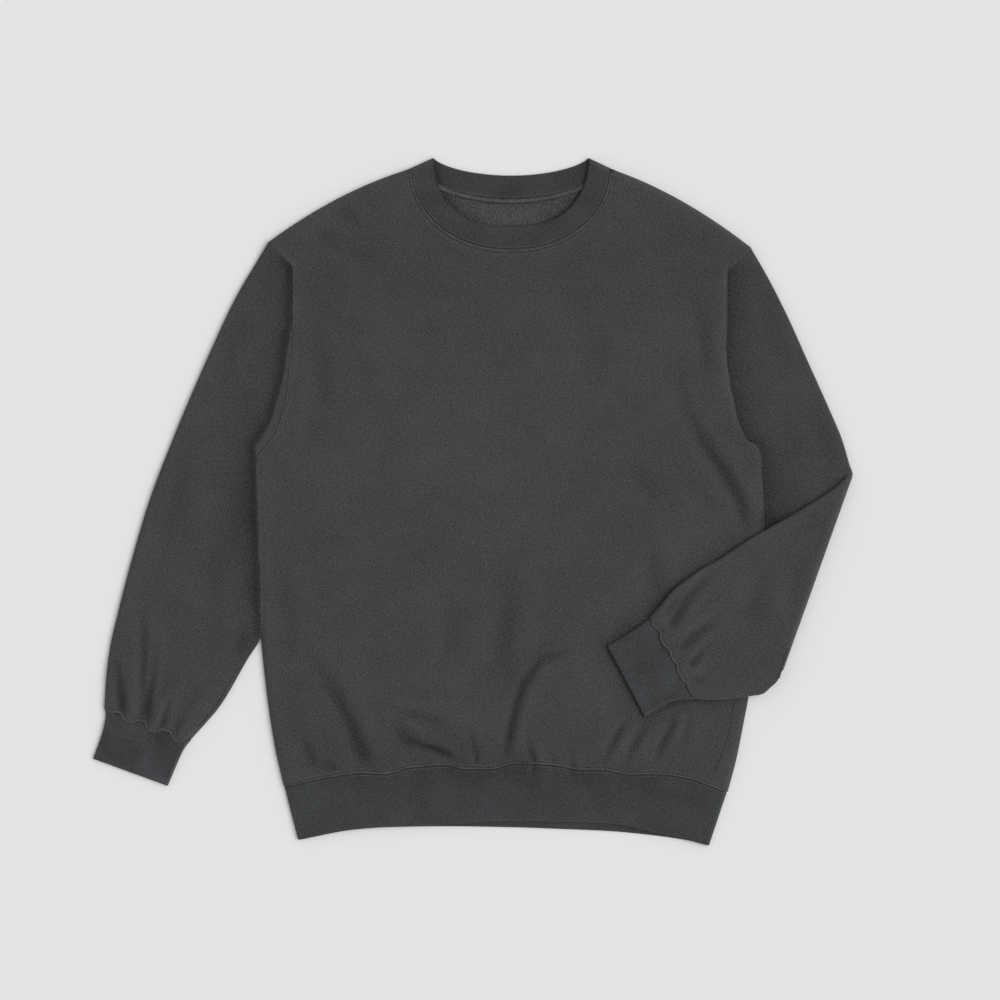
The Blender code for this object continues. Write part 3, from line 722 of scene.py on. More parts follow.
def make_straight_sleeve(material):
    """The sleeve beside the body: its cloth, and its plan for the seams on it."""
    rows = [armhole_row(-1)] + STRAIGHT_SLEEVE
    sections = section_plan(rows, -1)

    def plan(s, a):
        reach = ease((s - 0.955) / 0.045) * overhang(a, STRAIGHT_PUFFS, STRAIGHT_REACH)
        return sections(s, a) + reach[..., None] * np.array(CUFF_WAY)

    def top(x, y, s, a):
        height = straight_height(x, y)
        puff = puffs(a, STRAIGHT_PUFFS)
        height = height + 2.6 * ease((s - 0.89) / 0.07) * (puff - 0.4)
        end = RIB_TOP + 0.1 + 1.6 * puff
        return blend(height, end, ease((s - 0.984) / 0.016) ** 2)

    def bottom(x, y, s, a):
        return UNDERSIDE + 0.0 * x

    s = crowded(190, 1.18)
    points = flat_tube(s, plan, sections, top, bottom, 5.0, 6, 58)
    points = ribbed_wall(points, WALL, 0.0)[:, ::-1]
    piece = cloth("sleeve_straight_cloth", points, 0.0, material, True, STRAIGHT_CREASES)
    return piece, plan


# Places along the folded sleeve: how much of it the turn takes, and where the forearm starts
TURN_PART = 0.05
FOREARM_START = 1.06
# The forearm's way towards its cuff, as laid on the front
FOREARM_WAY = ((200.0, -170.0), (160.0, -190.0))


def make_folded_sleeve(material):
    """The sleeve laid out unfolded, then turned over at the elbow: its cloth and its cuff seam."""
    elbow, underarm = np.array(FOLD_ELBOW), np.array(FOLD_UNDERARM)
    along = (elbow - underarm) / np.linalg.norm(elbow - underarm)
    outward = np.array([along[1], -along[0]])
    middle = (SLEEVE_TOP + UNDERSIDE) / 2
    half = (SLEEVE_TOP - UNDERSIDE) / 2
    reach = FOLD_RADIUS + half
    outer_way, under_way = (
        (corner - np.array(row)) / ((corner - np.array(row)) @ outward)
        for corner, row in ((elbow, UPPER_ARM[-1][1:3]), (underarm, UPPER_ARM[-1][3:5]))
    )
    elbow, underarm = elbow - outer_way * reach, underarm - under_way * reach
    turn = math.pi * FOLD_RADIUS

    def unfold(point):
        behind = (elbow - point) @ outward
        return point + outward * (2 * behind + turn)

    upper = [armhole_row(1)] + UPPER_ARM + [(1.0, *elbow, *underarm)]
    bent = [(1.0 + TURN_PART * part, *(elbow + outer_way * turn * part),
             *(underarm + under_way * turn * part)) for part in (0.25, 0.5, 0.75)]
    lower = [(FOREARM_START + row[0], *unfold(np.array(row[1:3])), *unfold(np.array(row[3:5])))
             for row in FOREARM[1:]]
    last = lower[-1][0]
    rows = upper + bent + lower
    sections = section_plan(rows, 1)

    def after_fold(place):
        past = (place - elbow) @ outward
        swing = np.where(past < turn, FOLD_RADIUS * np.sin(np.clip(past, 0, turn) / FOLD_RADIUS),
                         turn - past)
        return place + (swing - past)[..., None] * outward * (past > 0)[..., None]

    start, end = (unfold(np.array(place)) for place in FOREARM_WAY)
    cuff_way = (end - start) / np.linalg.norm(end - start)

    def plan(s, a):
        reach = ease((s - last + 0.05) / 0.05) * overhang(a, FOLDED_PUFFS, FOLDED_REACH)
        return sections(s, a) + reach[..., None] * cuff_way

    def top(x, y, s, a):
        past = (np.stack([x, y], axis=-1) - elbow) @ outward
        flat = blend(upper_arm_height(x, y), SLEEVE_TOP, ease((past + 26.0) / 24.0))
        end = ease((s - last + 0.03) / 0.03) ** 2
        return blend(flat, SLEEVE_TOP - 1.2, end)

    def bottom(x, y, s, a):
        past = (np.stack([x, y], axis=-1) - elbow) @ outward
        place = after_fold(np.stack([x, y], axis=-1))
        rise = forearm_height(place[..., 0], place[..., 1])
        puff = puffs(a, FOLDED_PUFFS)
        rise = rise + 2.0 * ease((s - last + 0.14) / 0.10) * (puff - 0.35)
        rise = rise * ease((past - turn - 4.0) / 20.0)
        end = ease((s - last + 0.025) / 0.025) ** 2
        return UNDERSIDE - blend(rise, -1.5 + 1.2 * puff, end)

    s = crowded(235, 1.08) * last
    points = flat_tube(s, plan, plan, top, bottom, 4.0, 6, 56)
    place, h = points[..., :2], points[..., 2] - middle
    past = (place - elbow) @ outward
    angle = np.clip(past, 0, turn) / FOLD_RADIUS
    turned = (FOLD_RADIUS - h) * np.sin(angle) - past
    turned = np.where(past > turn, turn - 2 * past, turned) * (past > 0)
    height = middle + FOLD_RADIUS - (FOLD_RADIUS - h) * np.cos(angle)
    points = np.concatenate([place + turned[..., None] * outward, height[..., None]], axis=-1)
    across = np.linspace(0.02, 0.98, 90)
    seam = after_fold(plan(np.full_like(across, last), across))
    points = ribbed_wall(points, WALL, 0.0)
    rows = FOREARM_CREASES + UPPER_CREASES
    return cloth("sleeve_folded_cloth", points, 0.0, material, True, rows), seam


def ribbed_wall(points, wall, rib):
    """A closed tube's outer face as a ribbed wall with rounded rims, every sixth column a rib."""
    ring = points[:, :-1]
    around = np.roll(ring, -1, axis=1) - np.roll(ring, 1, axis=1)
    normal = np.cross(around, np.gradient(ring, axis=0))
    normal /= np.maximum(np.linalg.norm(normal, axis=-1), 1e-9)[..., None]
    if (normal * (ring - ring.mean(axis=1, keepdims=True))).sum() < 0:
        normal = -normal
    wave = np.cos(2 * math.pi * np.arange(ring.shape[1]) / 6.0)[None, :, None]
    outer = ring + normal * rib * wave
    inner = ring - normal * (wall - rib * wave)
    rims = []
    for end, inside in ((-1, -2), (0, 1)):
        beyond = ring[end] - ring[inside]
        beyond /= np.linalg.norm(beyond, axis=-1)[..., None]
        middle, half = (outer[end] + inner[end]) / 2, (outer[end] - inner[end]) / 2
        angles = [math.radians(t) for t in (35, 90, 145)]
        rims.append([middle + half * math.cos(t) + beyond * wall * 0.42 * math.sin(t)
                     for t in angles])
    rows = np.concatenate([outer, np.array(rims[0]), inner[::-1], np.array(rims[1])[::-1],
                           outer[:1]])
    rows[..., 2] = np.maximum(rows[..., 2], 0.05)
    return np.concatenate([rows, rows[:, :1]], axis=1)


def tube_flats(ribs, turns):
    """Columns across each layer, for a tube with a whole number of ribs all round."""
    return 3 * ribs - 2 * turns


def make_cuff(name, rows, low, high, ribs, material, reverse):
    """A doubled rib tube laid flat, with a rolled and paler free edge."""
    plan = section_plan(rows)

    def top(x, y, s, a):
        rolled = 1.3 * ease((s - 0.955) / 0.045) ** 2
        dip = 0.9 * (1 - ease(s / 0.1))
        return high + 0.35 * ripple(x, y, 16.0, 15) - rolled - dip + 0.5 * np.sin(math.pi * s)

    def bottom(x, y, s, a):
        return low + 0.6 * ease((s - 0.955) / 0.045) ** 2 + 0.0 * x

    s = np.linspace(0, 1, 24)
    points = flat_tube(s, plan, plan, top, bottom, 3.0, 6, tube_flats(ribs, 6))
    points = ribbed_wall(points, RIB_WALL, 0.26)
    points = points[:, ::-1] if reverse else points
    down = np.concatenate([s, [1, 1, 1], s[::-1], [0, 0, 0], s[:1]])[:, None]
    # Paler towards the rolled free edge
    wear_and_painted_light = 0.14 * ease((down - 0.80) / 0.2) + 0.0 * points[..., 0]
    return cloth(name + "_cloth", points, 0.0, material, True, (), wear_and_painted_light)


def make_hem_band(material):
    """The doubled rib band below the body, and the height function of its front layer."""
    def layer(end_column):
        def plan(s, a):
            x = blend(HEM_SEAM[0][0] + 1.0, HEM_SEAM[-1][0] - 1.0, a)
            end_x = blend(HEM_END[0][0], HEM_END[-1][0], a)
            seam = np.stack([x, column(HEM_SEAM, x) - 0.2], axis=-1)
            end = np.stack([end_x, smooth(HEM_END, end_x)[..., end_column]], axis=-1)
            return blend(seam, end, s[..., None])
        return plan

    def top(x, y, s, a):
        seam_x = blend(HEM_SEAM[0][0] + 1.0, HEM_SEAM[-1][0] - 1.0, a)
        crisp = front_height(seam_x, column(HEM_SEAM, seam_x) + 3.0) - 0.9
        soft = box_blur(crisp, 14)
        start = blend(crisp, soft, ease(s / 0.22))
        crease = lumps(x, y, LUMPS["hem band"])
        groove = 0.9 * np.exp(-(s / 0.05) ** 2)
        dip = -1.6 * np.exp(-(((x - 7) / 24.0) ** 2 + ((y + 298) / 9.0) ** 2))
        end = RIB_TOP + 0.7 + crease
        return blend(start, end, ease(s / 0.85)) + dip - groove

    def bottom(x, y, s, a):
        return UNDERSIDE + 0.5 * ease((s - 0.955) / 0.045) ** 2 + 0.0 * x

    s = np.linspace(0, 1, 14)
    s = s - 0.4 * np.sin(2 * math.pi * s) / (2 * math.pi)
    points = flat_tube(s, layer(1), layer(0), top, bottom, 3.4, 6, tube_flats(418, 6))
    points = ribbed_wall(points, RIB_WALL, 0.24)
    return cloth("hem_band_cloth", points[:, ::-1], 0.0, material, closed=True), top


def make_collar(material):
    """The rib neckband: one layer follows the front seam, the other the back seam."""
    def layer(seam, edge):
        def plan(s, a):
            outer = neck_point(seam, NECK_X, NECK_HALF - 0.6, NECK_Y + 0.3, a)
            inner = neck_point(edge, COLLAR_X, COLLAR_HALF, COLLAR_Y, a)
            return blend(outer, inner, s[..., None])
        return plan

    def top(x, y, s, a):
        start = 0.9 * np.exp(-(s / 0.08) ** 2)
        middle = 0.9 * np.sin(math.pi * np.clip(s, 0, 1))
        full = BODY_TOP - 0.1 + middle - start + 0.3 * ripple(x, y, 14.0, 20) - 3.4 * s
        return blend(6.5, full, ease(np.minimum(a, 1 - a) / 0.024))

    def bottom(x, y, s, a):
        return UNDERSIDE + 0.35 + 0.35 * ripple(x, y, 12.0, 21)

    s = np.linspace(0, 1, 15)
    front, back = layer(FRONT_SEAM, FRONT_EDGE), layer(BACK_SEAM, BACK_EDGE)
    points = flat_tube(s, front, back, top, bottom, 3.2, 6, tube_flats(220, 6))
    points = ribbed_wall(points, RIB_WALL, 0.24)
    return cloth("collar_cloth", points, 0.0, material, closed=True)


def make_front(material):
    """The front panel with its creases."""
    x, y = panel_grid(FRONT_SEAM, 50, 92, 226, 0.45)
    points = np.stack([x, y, front_height(x, y)], axis=-1)
    return cloth("front_cloth", points, WALL, material, folds=FRONT_CREASES)


def back_height(x, y):
    """Upper face of the back panel, which shows inside the neck."""
    return UNDERSIDE + WALL + 0.35 + lumps(x, y, LUMPS["back"])


def make_back(material):
    """The back panel, brushed side up, lying on the surface."""
    x, y = panel_grid(BACK_SEAM, 28, 84, 120, 0.0)
    return cloth("back_cloth", np.stack([x, y, back_height(x, y)], axis=-1), WALL, material)


# ------------------------------------------------------------------ seams and stitches

def even_path(points, pitch):
    """Points spread evenly along a path, with their directions."""
    points = np.asarray(points, float)
    steps = np.concatenate([[0.0], np.cumsum(np.hypot(*np.diff(points, axis=0).T))])
    at = np.arange(0.0, steps[-1], pitch)
    place = np.stack([np.interp(at, steps, points[:, k]) for k in range(2)], axis=-1)
    ahead = np.stack([np.interp(at + 0.5, steps, points[:, k]) for k in range(2)], axis=-1)
    behind = np.stack([np.interp(at - 0.5, steps, points[:, k]) for k in range(2)], axis=-1)
    along = ahead - behind
    along /= np.linalg.norm(along, axis=1)[:, None]
    return place, along


def link_mesh(name, verts, faces, material, tone):
    """A smooth mesh with an uneven paler tone, as rubbed seams and thread have."""
    mesh = bpy.data.meshes.new(name)
    mesh.from_pydata((verts * MM).tolist(), [], faces.tolist())
    mesh.validate()
    mesh.shade_smooth()
    uneven = tone * (0.75 + 0.6 * ripple(verts[:, 0], verts[:, 1], 13.0, 26))
    mesh.attributes.new("wear_and_painted_light", "FLOAT", "POINT").data.foreach_set("value", uneven)
    mesh.materials.append(material)
    piece = bpy.data.objects.new(name, mesh)
    bpy.context.scene.collection.objects.link(piece)
    return piece


def ridge(name, paths, height, half, rise, material, tone):
    """Raised seams: low rounded ridges along paths, with slightly uneven width."""
    sides = 8
    verts, faces, count = [], [], 0
    for points in paths:
        place, along = even_path(points, 1.4)
        across = np.stack([along[:, 1], -along[:, 0]], axis=-1)
        uneven = 1 + 0.22 * ripple(place[:, 0], place[:, 1], 3.4, 24)
        taper = np.minimum(1.0, np.minimum(np.arange(len(place)), np.arange(len(place))[::-1]) / 4)
        z = height(place[:, 0], place[:, 1])
        for k in range(sides):
            angle = 2 * math.pi * k / sides
            out = half * math.cos(angle) * uneven * np.maximum(taper, 0.05)
            up = rise * math.sin(angle) * uneven * np.maximum(taper, 0.05)
            verts.append(np.column_stack([place + across * out[:, None], z + up]))
        n = len(place)
        ring = np.arange(sides)
        for j in range(n - 1):
            here = count + ring * n + j
            there = count + (ring + 1) % sides * n + j
            faces.append(np.stack([here, here + 1, there + 1, there], axis=-1))
        for cap in (count + ring * n, count + ring[::-1] * n + n - 1):
            faces.append(np.stack([cap[[0, 0, 0]], cap[[1, 3, 5]], cap[[2, 4, 6]],
                                   cap[[3, 5, 7]]], axis=-1))
        count += sides * n
    return link_mesh(name, np.concatenate(verts), np.concatenate(faces), material, tone)


# How much paler stitches are
STITCH_TONE = 0.8
# Outline of one stitch: place along it, width, height
STITCH = [(-0.5, 0.25, -0.5), (-0.3, 0.9, 0.1), (0.0, 1.0, 0.3), (0.3, 0.9, 0.1), (0.5, 0.25, -0.5)]


def stitches(name, rows, material):
    """Rows of stitches: path, height function, pitch, length, width and slant of each."""
    sides, verts, faces, count = 6, [], [], 0
    for points, height, pitch, length, width, slant in rows:
        place, along = even_path(points, pitch)
        turn = math.radians(slant)
        along = np.stack([along[:, 0] * math.cos(turn) - along[:, 1] * math.sin(turn),
                          along[:, 0] * math.sin(turn) + along[:, 1] * math.cos(turn)], axis=-1)
        across = np.stack([along[:, 1], -along[:, 0]], axis=-1)
        jitter = 1 + 0.25 * ripple(place[:, 0], place[:, 1], 2.1, 25)
        z = height(place[:, 0], place[:, 1])
        n = len(place)
        for reach, wide, high in STITCH:
            for k in range(sides):
                angle = 2 * math.pi * k / sides
                out = 0.5 * width * wide * math.cos(angle)
                up = 0.5 * width * (high + wide * math.sin(angle))
                spot = place + along * (reach * length * jitter)[:, None] + across * out
                verts.append(np.column_stack([spot, z + up]))
        each = np.arange(n)
        for r in range(len(STITCH) - 1):
            for k in range(sides):
                a = count + (r * sides + k) * n + each
                b = count + (r * sides + (k + 1) % sides) * n + each
                faces.append(np.stack([a, b, b + sides * n, a + sides * n], axis=-1))
        for r, order in ((0, -1), (len(STITCH) - 1, 1)):
            rim = [count + (r * sides + k) * n + each for k in range(sides)][::order]
            faces.append(np.stack([rim[0], rim[1], rim[2], rim[3]], axis=-1))
            faces.append(np.stack([rim[0], rim[3], rim[4], rim[5]], axis=-1))
        count += sides * len(STITCH) * n
    return link_mesh(name, np.concatenate(verts), np.concatenate(faces), material, STITCH_TONE)


# ------------------------------------------------------------------ materials

# Cloths: base colour, grain, specks, mottle, bump strength, bump depth in metres, knit
CLOTHS = {
    "fleece": ((0.0480, 0.0509, 0.0537), 0.80, 0.7, 0.38, 1.0, 0.0009, 0.0),
    "brushed inside": ((0.065, 0.068, 0.071), 1.35, 0.9, 0.5, 1.0, 0.0017, 0.0),
    "rib": ((0.0416, 0.0446, 0.0474), 0.95, 0.4, 0.8, 1.0, 0.0010, 0.3),
    # A dark cloth for thin lines of painted shadow in the grooves beside seams
    "painted groove shadow": ((0.025, 0.0265, 0.028), 0.3, 0.0, 0.1, 0.3, 0.0004, 0.0),
    "cuff rib": ((0.0405, 0.0435, 0.0463), 0.95, 0.5, 1.5, 1.0, 0.0010, 0.08),
    "thread": ((0.0595, 0.0625, 0.0655), 0.1, 0.0, 0.1, 0.2, 0.0002, 0.0),
}
MATT_COTTON = {
    "Roughness": 0.95, "Specular IOR Level": 0.25, "Sheen Weight": 0.15,
    "Sheen Roughness": 0.55, "Sheen Tint": (0.75, 0.79, 0.85, 1.0),
}
# Turn of the nap on the cloth, in radians, so that no row of it follows the garment's own axes
NAP_TURN = 0.47
# Shares of the fine fuzz and of the larger clumps in the grain, and the levels that centre it
FUZZ_SHARE = 1.1
FUZZ_LEVEL = -0.17
CLUMP_SHARE = 0.22
CLUMP_LEVEL = -0.11
# The knit's courses as a wave, with its unevenness, and how much paler their tops are painted, a
# painted highlight
COURSES = {"Scale": 137.0, "Distortion": 3.0, "Detail": 2.0, "Detail Scale": 2.5}
COURSE_HIGHLIGHT = 0.09


def node_group(name, inputs, outputs):
    """A shader group with named sockets, given as (name, type, default)."""
    group = bpy.data.node_groups.new(name, "ShaderNodeTree")
    for direction, sockets in (("INPUT", inputs), ("OUTPUT", outputs)):
        for label, kind, value in sockets:
            socket = group.interface.new_socket(label, in_out=direction, socket_type=kind)
            if direction == "INPUT" and value is not None:
                socket.default_value = value
    return group, group.nodes.new("NodeGroupInput"), group.nodes.new("NodeGroupOutput")


def add_node(tree, kind, values=(), **settings):
    """A node with its settings, and a value or a link for each named input."""
    node = tree.nodes.new(kind)
    for key, value in settings.items():
        setattr(node, key, value)
    for key, value in dict(values).items():
        if isinstance(value, bpy.types.NodeSocket):
            tree.links.new(value, node.inputs[key])
        else:
            node.inputs[key].default_value = value
    return node


def maths(tree, operation, *values):
    """The result of one sum on sockets or numbers."""
    values = dict(enumerate(values))
    return add_node(tree, "ShaderNodeMath", values, operation=operation).outputs[0]


def nap_group():
    """Brushed cloth: fine grain, paler fibre ends and faint large mottling."""
    group, given, result = node_group(
        "brushed nap",
        [("Place", "NodeSocketVector", None), ("Grain", "NodeSocketFloat", 1.0),
         ("Specks", "NodeSocketFloat", 0.3), ("Mottle", "NodeSocketFloat", 0.3)],
        [("Shade", "NodeSocketFloat", None), ("Height", "NodeSocketFloat", None)],
    )
    given = given.outputs
    turned = add_node(group, "ShaderNodeVectorRotate", {"Vector": given["Place"],
                                                        "Angle": NAP_TURN},
                      rotation_type="Z_AXIS")
    place = turned.outputs[0]

    def spots(scale, randomness):
        values = {"Vector": place, "Scale": scale, "Randomness": randomness}
        node = add_node(group, "ShaderNodeTexVoronoi", values, voronoi_dimensions="2D")
        return node.outputs["Distance"]

    def noise(scale, detail, roughness):
        values = {"Vector": place, "Scale": scale, "Detail": detail, "Roughness": roughness}
        return add_node(group, "ShaderNodeTexNoise", values).outputs["Fac"]

    loops, tips = spots(450.0, 0.55), spots(260.0, 1.0)
    fuzz, clumps, clouds = noise(1050.0, 2.0, 0.8), noise(190.0, 1.0, 0.6), noise(30.0, 3.0, 0.55)
    dots = add_node(group, "ShaderNodeMapRange", {"Value": tips, "From Min": 0.20,
                                                  "From Max": 0.05}).outputs[0]
    fuzzy = maths(group, "MULTIPLY_ADD", fuzz, FUZZ_SHARE, FUZZ_LEVEL)
    fine = maths(group, "SUBTRACT", fuzzy, loops)
    lumpy = maths(group, "MULTIPLY_ADD", clumps, CLUMP_SHARE, fine)
    height = maths(group, "ADD", lumpy, CLUMP_LEVEL)
    grained = maths(group, "MULTIPLY_ADD", height, given["Grain"], 1.0)
    specked = maths(group, "MULTIPLY_ADD", dots, given["Specks"], grained)
    cloudy = maths(group, "ADD", clouds, -0.5)
    shade = maths(group, "MULTIPLY_ADD", cloudy, given["Mottle"], specked)
    group.links.new(shade, result.inputs["Shade"])
    group.links.new(height, result.inputs["Height"])
    return group


def fabric(name, nap, base, grain, specks, mottle, bump, bump_depth, knit):
    """Matt dyed cotton. The nap group shades it; an attribute adds painted light and shade and the
    paler tone of rubbed seams; knit adds courses.
    """
    material = bpy.data.materials.new(name)
    material.use_nodes = True
    tree = material.node_tree
    shader = tree.nodes["Principled BSDF"]
    place = add_node(tree, "ShaderNodeTexCoord").outputs["Object"]
    brushed = add_node(tree, "ShaderNodeGroup", {"Place": place, "Grain": grain,
                                                 "Specks": specks, "Mottle": mottle},
                       node_tree=nap)
    # The attribute brings painted light and shade, and the paler tone of rubbed seams and thread
    wear_and_painted_light = add_node(tree, "ShaderNodeAttribute", attribute_name="wear_and_painted_light").outputs["Fac"]
    shade = maths(tree, "ADD", wear_and_painted_light, brushed.outputs["Shade"])
    height = brushed.outputs["Height"]
    if knit:
        own_map = add_node(tree, "ShaderNodeUVMap", uv_map="cloth").outputs["UV"]
        courses = add_node(tree, "ShaderNodeTexWave", {"Vector": own_map, **COURSES},
                           bands_direction="Y").outputs["Fac"]
        height = maths(tree, "MULTIPLY_ADD", courses, knit, height)
        shade = maths(tree, "MULTIPLY_ADD", courses, COURSE_HIGHLIGHT, shade)
    colour = add_node(tree, "ShaderNodeVectorMath", {0: base, "Scale": shade},
                      operation="SCALE")
    relief = add_node(tree, "ShaderNodeBump", {"Strength": bump, "Distance": bump_depth,
                                               "Height": height})
    tree.links.new(colour.outputs[0], shader.inputs["Base Color"])
    tree.links.new(relief.outputs["Normal"], shader.inputs["Normal"])
    for key, value in MATT_COTTON.items():
        shader.inputs[key].default_value = value
    return material


def plain(name, colour, roughness):
    """A plain material, for the floor alone."""
    material = bpy.data.materials.new(name)
    material.use_nodes = True
    shader = material.node_tree.nodes["Principled BSDF"]
    shader.inputs["Base Color"].default_value = (*colour, 1.0)
    shader.inputs["Roughness"].default_value = roughness
    return material


# ------------------------------------------------------------------ seams of this garment

# Curves beside the front neck seam: dip, wider than the neck by, higher by, part left off, points
NECK_SEAM = (87.0, -0.4, 0.2, 0.006, 170)
NECK_BODY_ROW = (90.4, 3.0, -1.0, 0.035, 160)
NECK_RIB_ROW = (84.0, -3.4, 0.8, 0.035, 160)
NECK_GROOVE = (85.3, -1.9, 0.4, 0.07, 140)
# Dips of the curves inside the back neck, from the collar downwards
RIB_EDGE_DIP = 29.2
UPPER_GROOVE_DIP = 31.6
OVERLOCK_DIP = 34.0
LOWER_GROOVE_DIP = 36.5
# Topstitching on the neck and hem: pitch, length, width, slant
TOPSTITCH = (3.0, 2.0, 0.8, 0.0)
HEM_TOPSTITCH = (3.0, 2.0, 0.9, 0.0)
ARMHOLE_TOPSTITCH = (3.0, 1.9, 0.85, 0.0)
# Loops over the inside neck seam, leaning both ways, same columns
OVERLOCK_LOOPS = (2.7, 4.2, 1.15, 62.0)
OVERLOCK_BACKS = (2.7, 3.0, 0.8, -50.0)
# The hem's two stitch rows, below and above its seam
HEM_ROWS = (-3.6, 3.2)
SIDE_SEAM = [(277.7, -206), (270.3, -246.5), (261, -273), (253.8, -289)]
COLLAR_JOIN = [(107.0, 351.5), (110.5, 343.0), (114.3, 334.5)]
CUFF_HEIGHT = 6.0
FOLDED_BASE = 2 * FOLD_RADIUS + UNDERSIDE


def level(height):
    """A height that is the same everywhere."""
    return lambda x, y: height + 0 * x


def above(height, rise):
    """A height raised everywhere by the same amount."""
    return lambda x, y: height(x, y) + rise


def front_curve(dip, wider, higher, left_off, count):
    """A curve beside the front neck seam."""
    f = np.linspace(left_off, 1 - left_off, count)
    return neck_point((dip, 2.1, 0.5), NECK_X, NECK_HALF + wider, NECK_Y + higher, f)


def inside_curve(dip):
    """A curve inside the back neck, stopping short of the shoulders."""
    f = np.linspace(0.07, 0.93, 120)
    return neck_point((dip, 2.0, 0.76), NECK_X, NECK_HALF - 1.0, NECK_Y, f)


def hem_curve():
    """The hem seam, from side to side."""
    x = np.linspace(-198.5, 268.0, 240)
    return np.stack([x, column(HEM_SEAM, x)], axis=-1)


def armhole_path(side_rows, aside, lowest):
    """Part of a body side above a place, moved a little across."""
    return [(x + aside, y) for y, x in side_rows if y > lowest]


def armhole_height(x, y):
    """Over the straight sleeve's strip on one side, on the front's edge on the other."""
    joined = np.maximum(front_height(x, y), straight_height(x, y)) - 0.05
    return np.where(x < 0, joined, front_height(x - 1.0, y) + 0.3)


def make_seams(looks, straight_plan, folded_seam):
    """Every raised seam, and a dark line of painted shadow in each groove beside one."""
    fleece, inside = looks["fleece"], looks["brushed inside"]
    # The groove cloth is dark: its lines are painted shadow in the grooves
    rib, groove = looks["rib"], looks["painted groove shadow"]
    across = np.linspace(0.02, 0.98, 90)
    way = np.array(CUFF_WAY)
    hanging = overhang(across, STRAIGHT_PUFFS, STRAIGHT_REACH)[:, None]
    straight_seam = section_plan(STRAIGHT_CUFF)(np.zeros_like(across), across)
    straight_seam = straight_seam + way * (hanging + 0.3)
    down = np.linspace(0.87, 0.985, 60)
    under_edge = straight_plan(down, np.full_like(down, 0.965))
    cuff_down = np.linspace(0.05, 0.97, 40)
    cuff_edge = section_plan(STRAIGHT_CUFF)(cuff_down, np.full_like(cuff_down, 0.955))
    hem, folded_top = hem_curve(), FOLDED_BASE + CUFF_HEIGHT
    armholes = [armhole_path(LEFT_SIDE, -0.2, 44.0), armhole_path(RIGHT_SIDE, 0.2, 244.0)]
    # Rows in the groove cloth are thin dark lines of painted shadow
    # Name, paths, height, half width, rise, material, how pale
    for row in [
        ("neck_seam", [front_curve(*NECK_SEAM)], above(front_height, 0.3), 0.9, 1.0, fleece,
         0.62),
        ("hem_seam", [hem], above(front_height, 0.25), 0.85, 1.0, fleece, 0.62),
        ("inside_neck_seam", [inside_curve(OVERLOCK_DIP)], above(back_height, 0.1), 2.0, 1.2,
         inside, 0.06),
        ("inside_neck_shadow_lines", [inside_curve(UPPER_GROOVE_DIP), inside_curve(LOWER_GROOVE_DIP)],
         above(back_height, 0.2), 1.0, 0.5, groove, 0.0),
        ("inside_rib_edge", [inside_curve(RIB_EDGE_DIP)], level(2.75), 0.8, 0.7, rib, 0.5),
        ("armhole_seams", armholes, armhole_height, 0.95, 0.8, fleece, 0.22),
        ("cuff_seam_straight", [straight_seam], level(RIB_TOP + 0.9), 1.0, 1.0, fleece, 0.62),
        ("cuff_seam_folded", [folded_seam], level(folded_top + 0.5), 1.1, 1.1, fleece, 0.62),
        ("underarm_shadow_line", [under_edge], above(straight_height, -0.35), 0.55, 0.4, groove, 0.0),
        ("cuff_shadow_lines", [cuff_edge, straight_seam + way * 1.4], level(RIB_TOP + 0.1), 0.55, 0.5,
         groove, 0.0),
        ("cuff_shadow_line_folded", [folded_seam + np.array([-1.35, 0.7])], level(folded_top - 0.1),
         0.75, 0.5, groove, 0.0),
        ("side_seam_shadow_line", [SIDE_SEAM], above(front_height, -0.1), 0.5, 0.3, groove, 0.0),
        ("neck_seam_shadow_line", [front_curve(*NECK_GROOVE)], level(BODY_TOP - 0.85), 0.55, 0.5, groove,
         0.0),
        ("hem_shadow_line", [hem + np.array([0.0, -1.5])],
         lambda x, y: front_height(x, y + 4.5) - 1.3, 0.75, 0.6, groove, 0.0),
        ("collar_join", [COLLAR_JOIN], level(3.3), 0.8, 0.7, rib, 0.3),
    ]:
        ridge(*row)


def make_stitches(thread, hem_top):
    """The topstitching of the neck, hem and armholes, and the loops inside the neck."""
    def band_height(x, y):
        a = (x - HEM_SEAM[0][0] - 1.0) / (HEM_SEAM[-1][0] - HEM_SEAM[0][0] - 2.0)
        return hem_top(x, y, 0.06 + 0 * x, a) + 0.5

    hem, overlock = hem_curve(), inside_curve(OVERLOCK_DIP)
    below, beyond = (hem + np.array([0.0, row]) for row in HEM_ROWS)
    stitches("inside_neck_loops", [
        (overlock, above(back_height, 1.15), *OVERLOCK_LOOPS),
        (overlock, above(back_height, 1.1), *OVERLOCK_BACKS),
    ], thread)
    stitches("neck_stitches", [
        (front_curve(*NECK_BODY_ROW), front_height, *TOPSTITCH),
        (front_curve(*NECK_RIB_ROW), level(BODY_TOP + 0.75), *TOPSTITCH),
    ], thread)
    stitches("hem_stitches", [
        (beyond, front_height, *TOPSTITCH),
        (below, band_height, *HEM_TOPSTITCH),
    ], thread)
    stitches("armhole_stitches", [
        (armhole_path(LEFT_SIDE, 3.4, 60.0), front_height, *ARMHOLE_TOPSTITCH),
        (armhole_path(RIGHT_SIDE, -3.6, 70.0), front_height, *ARMHOLE_TOPSTITCH),
    ], thread)


# ------------------------------------------------------------------ the scene

FLOOR_GREY = (0.78, 0.78, 0.78)
# Light from all round on the garment and floor, and how bright it looks past the floor's edge
ROUND_LIGHT = 0.50
ROUND_LIGHT_SEEN = 0.76
KEY_TURN = (math.radians(32), 0.0, math.radians(88))
KEY_ENERGY = 1.84
KEY_SOFTNESS = math.radians(48)
CAMERA_PLACE = (0.0286, 0.0016, 6.0)
CAMERA_LENS = 203.8


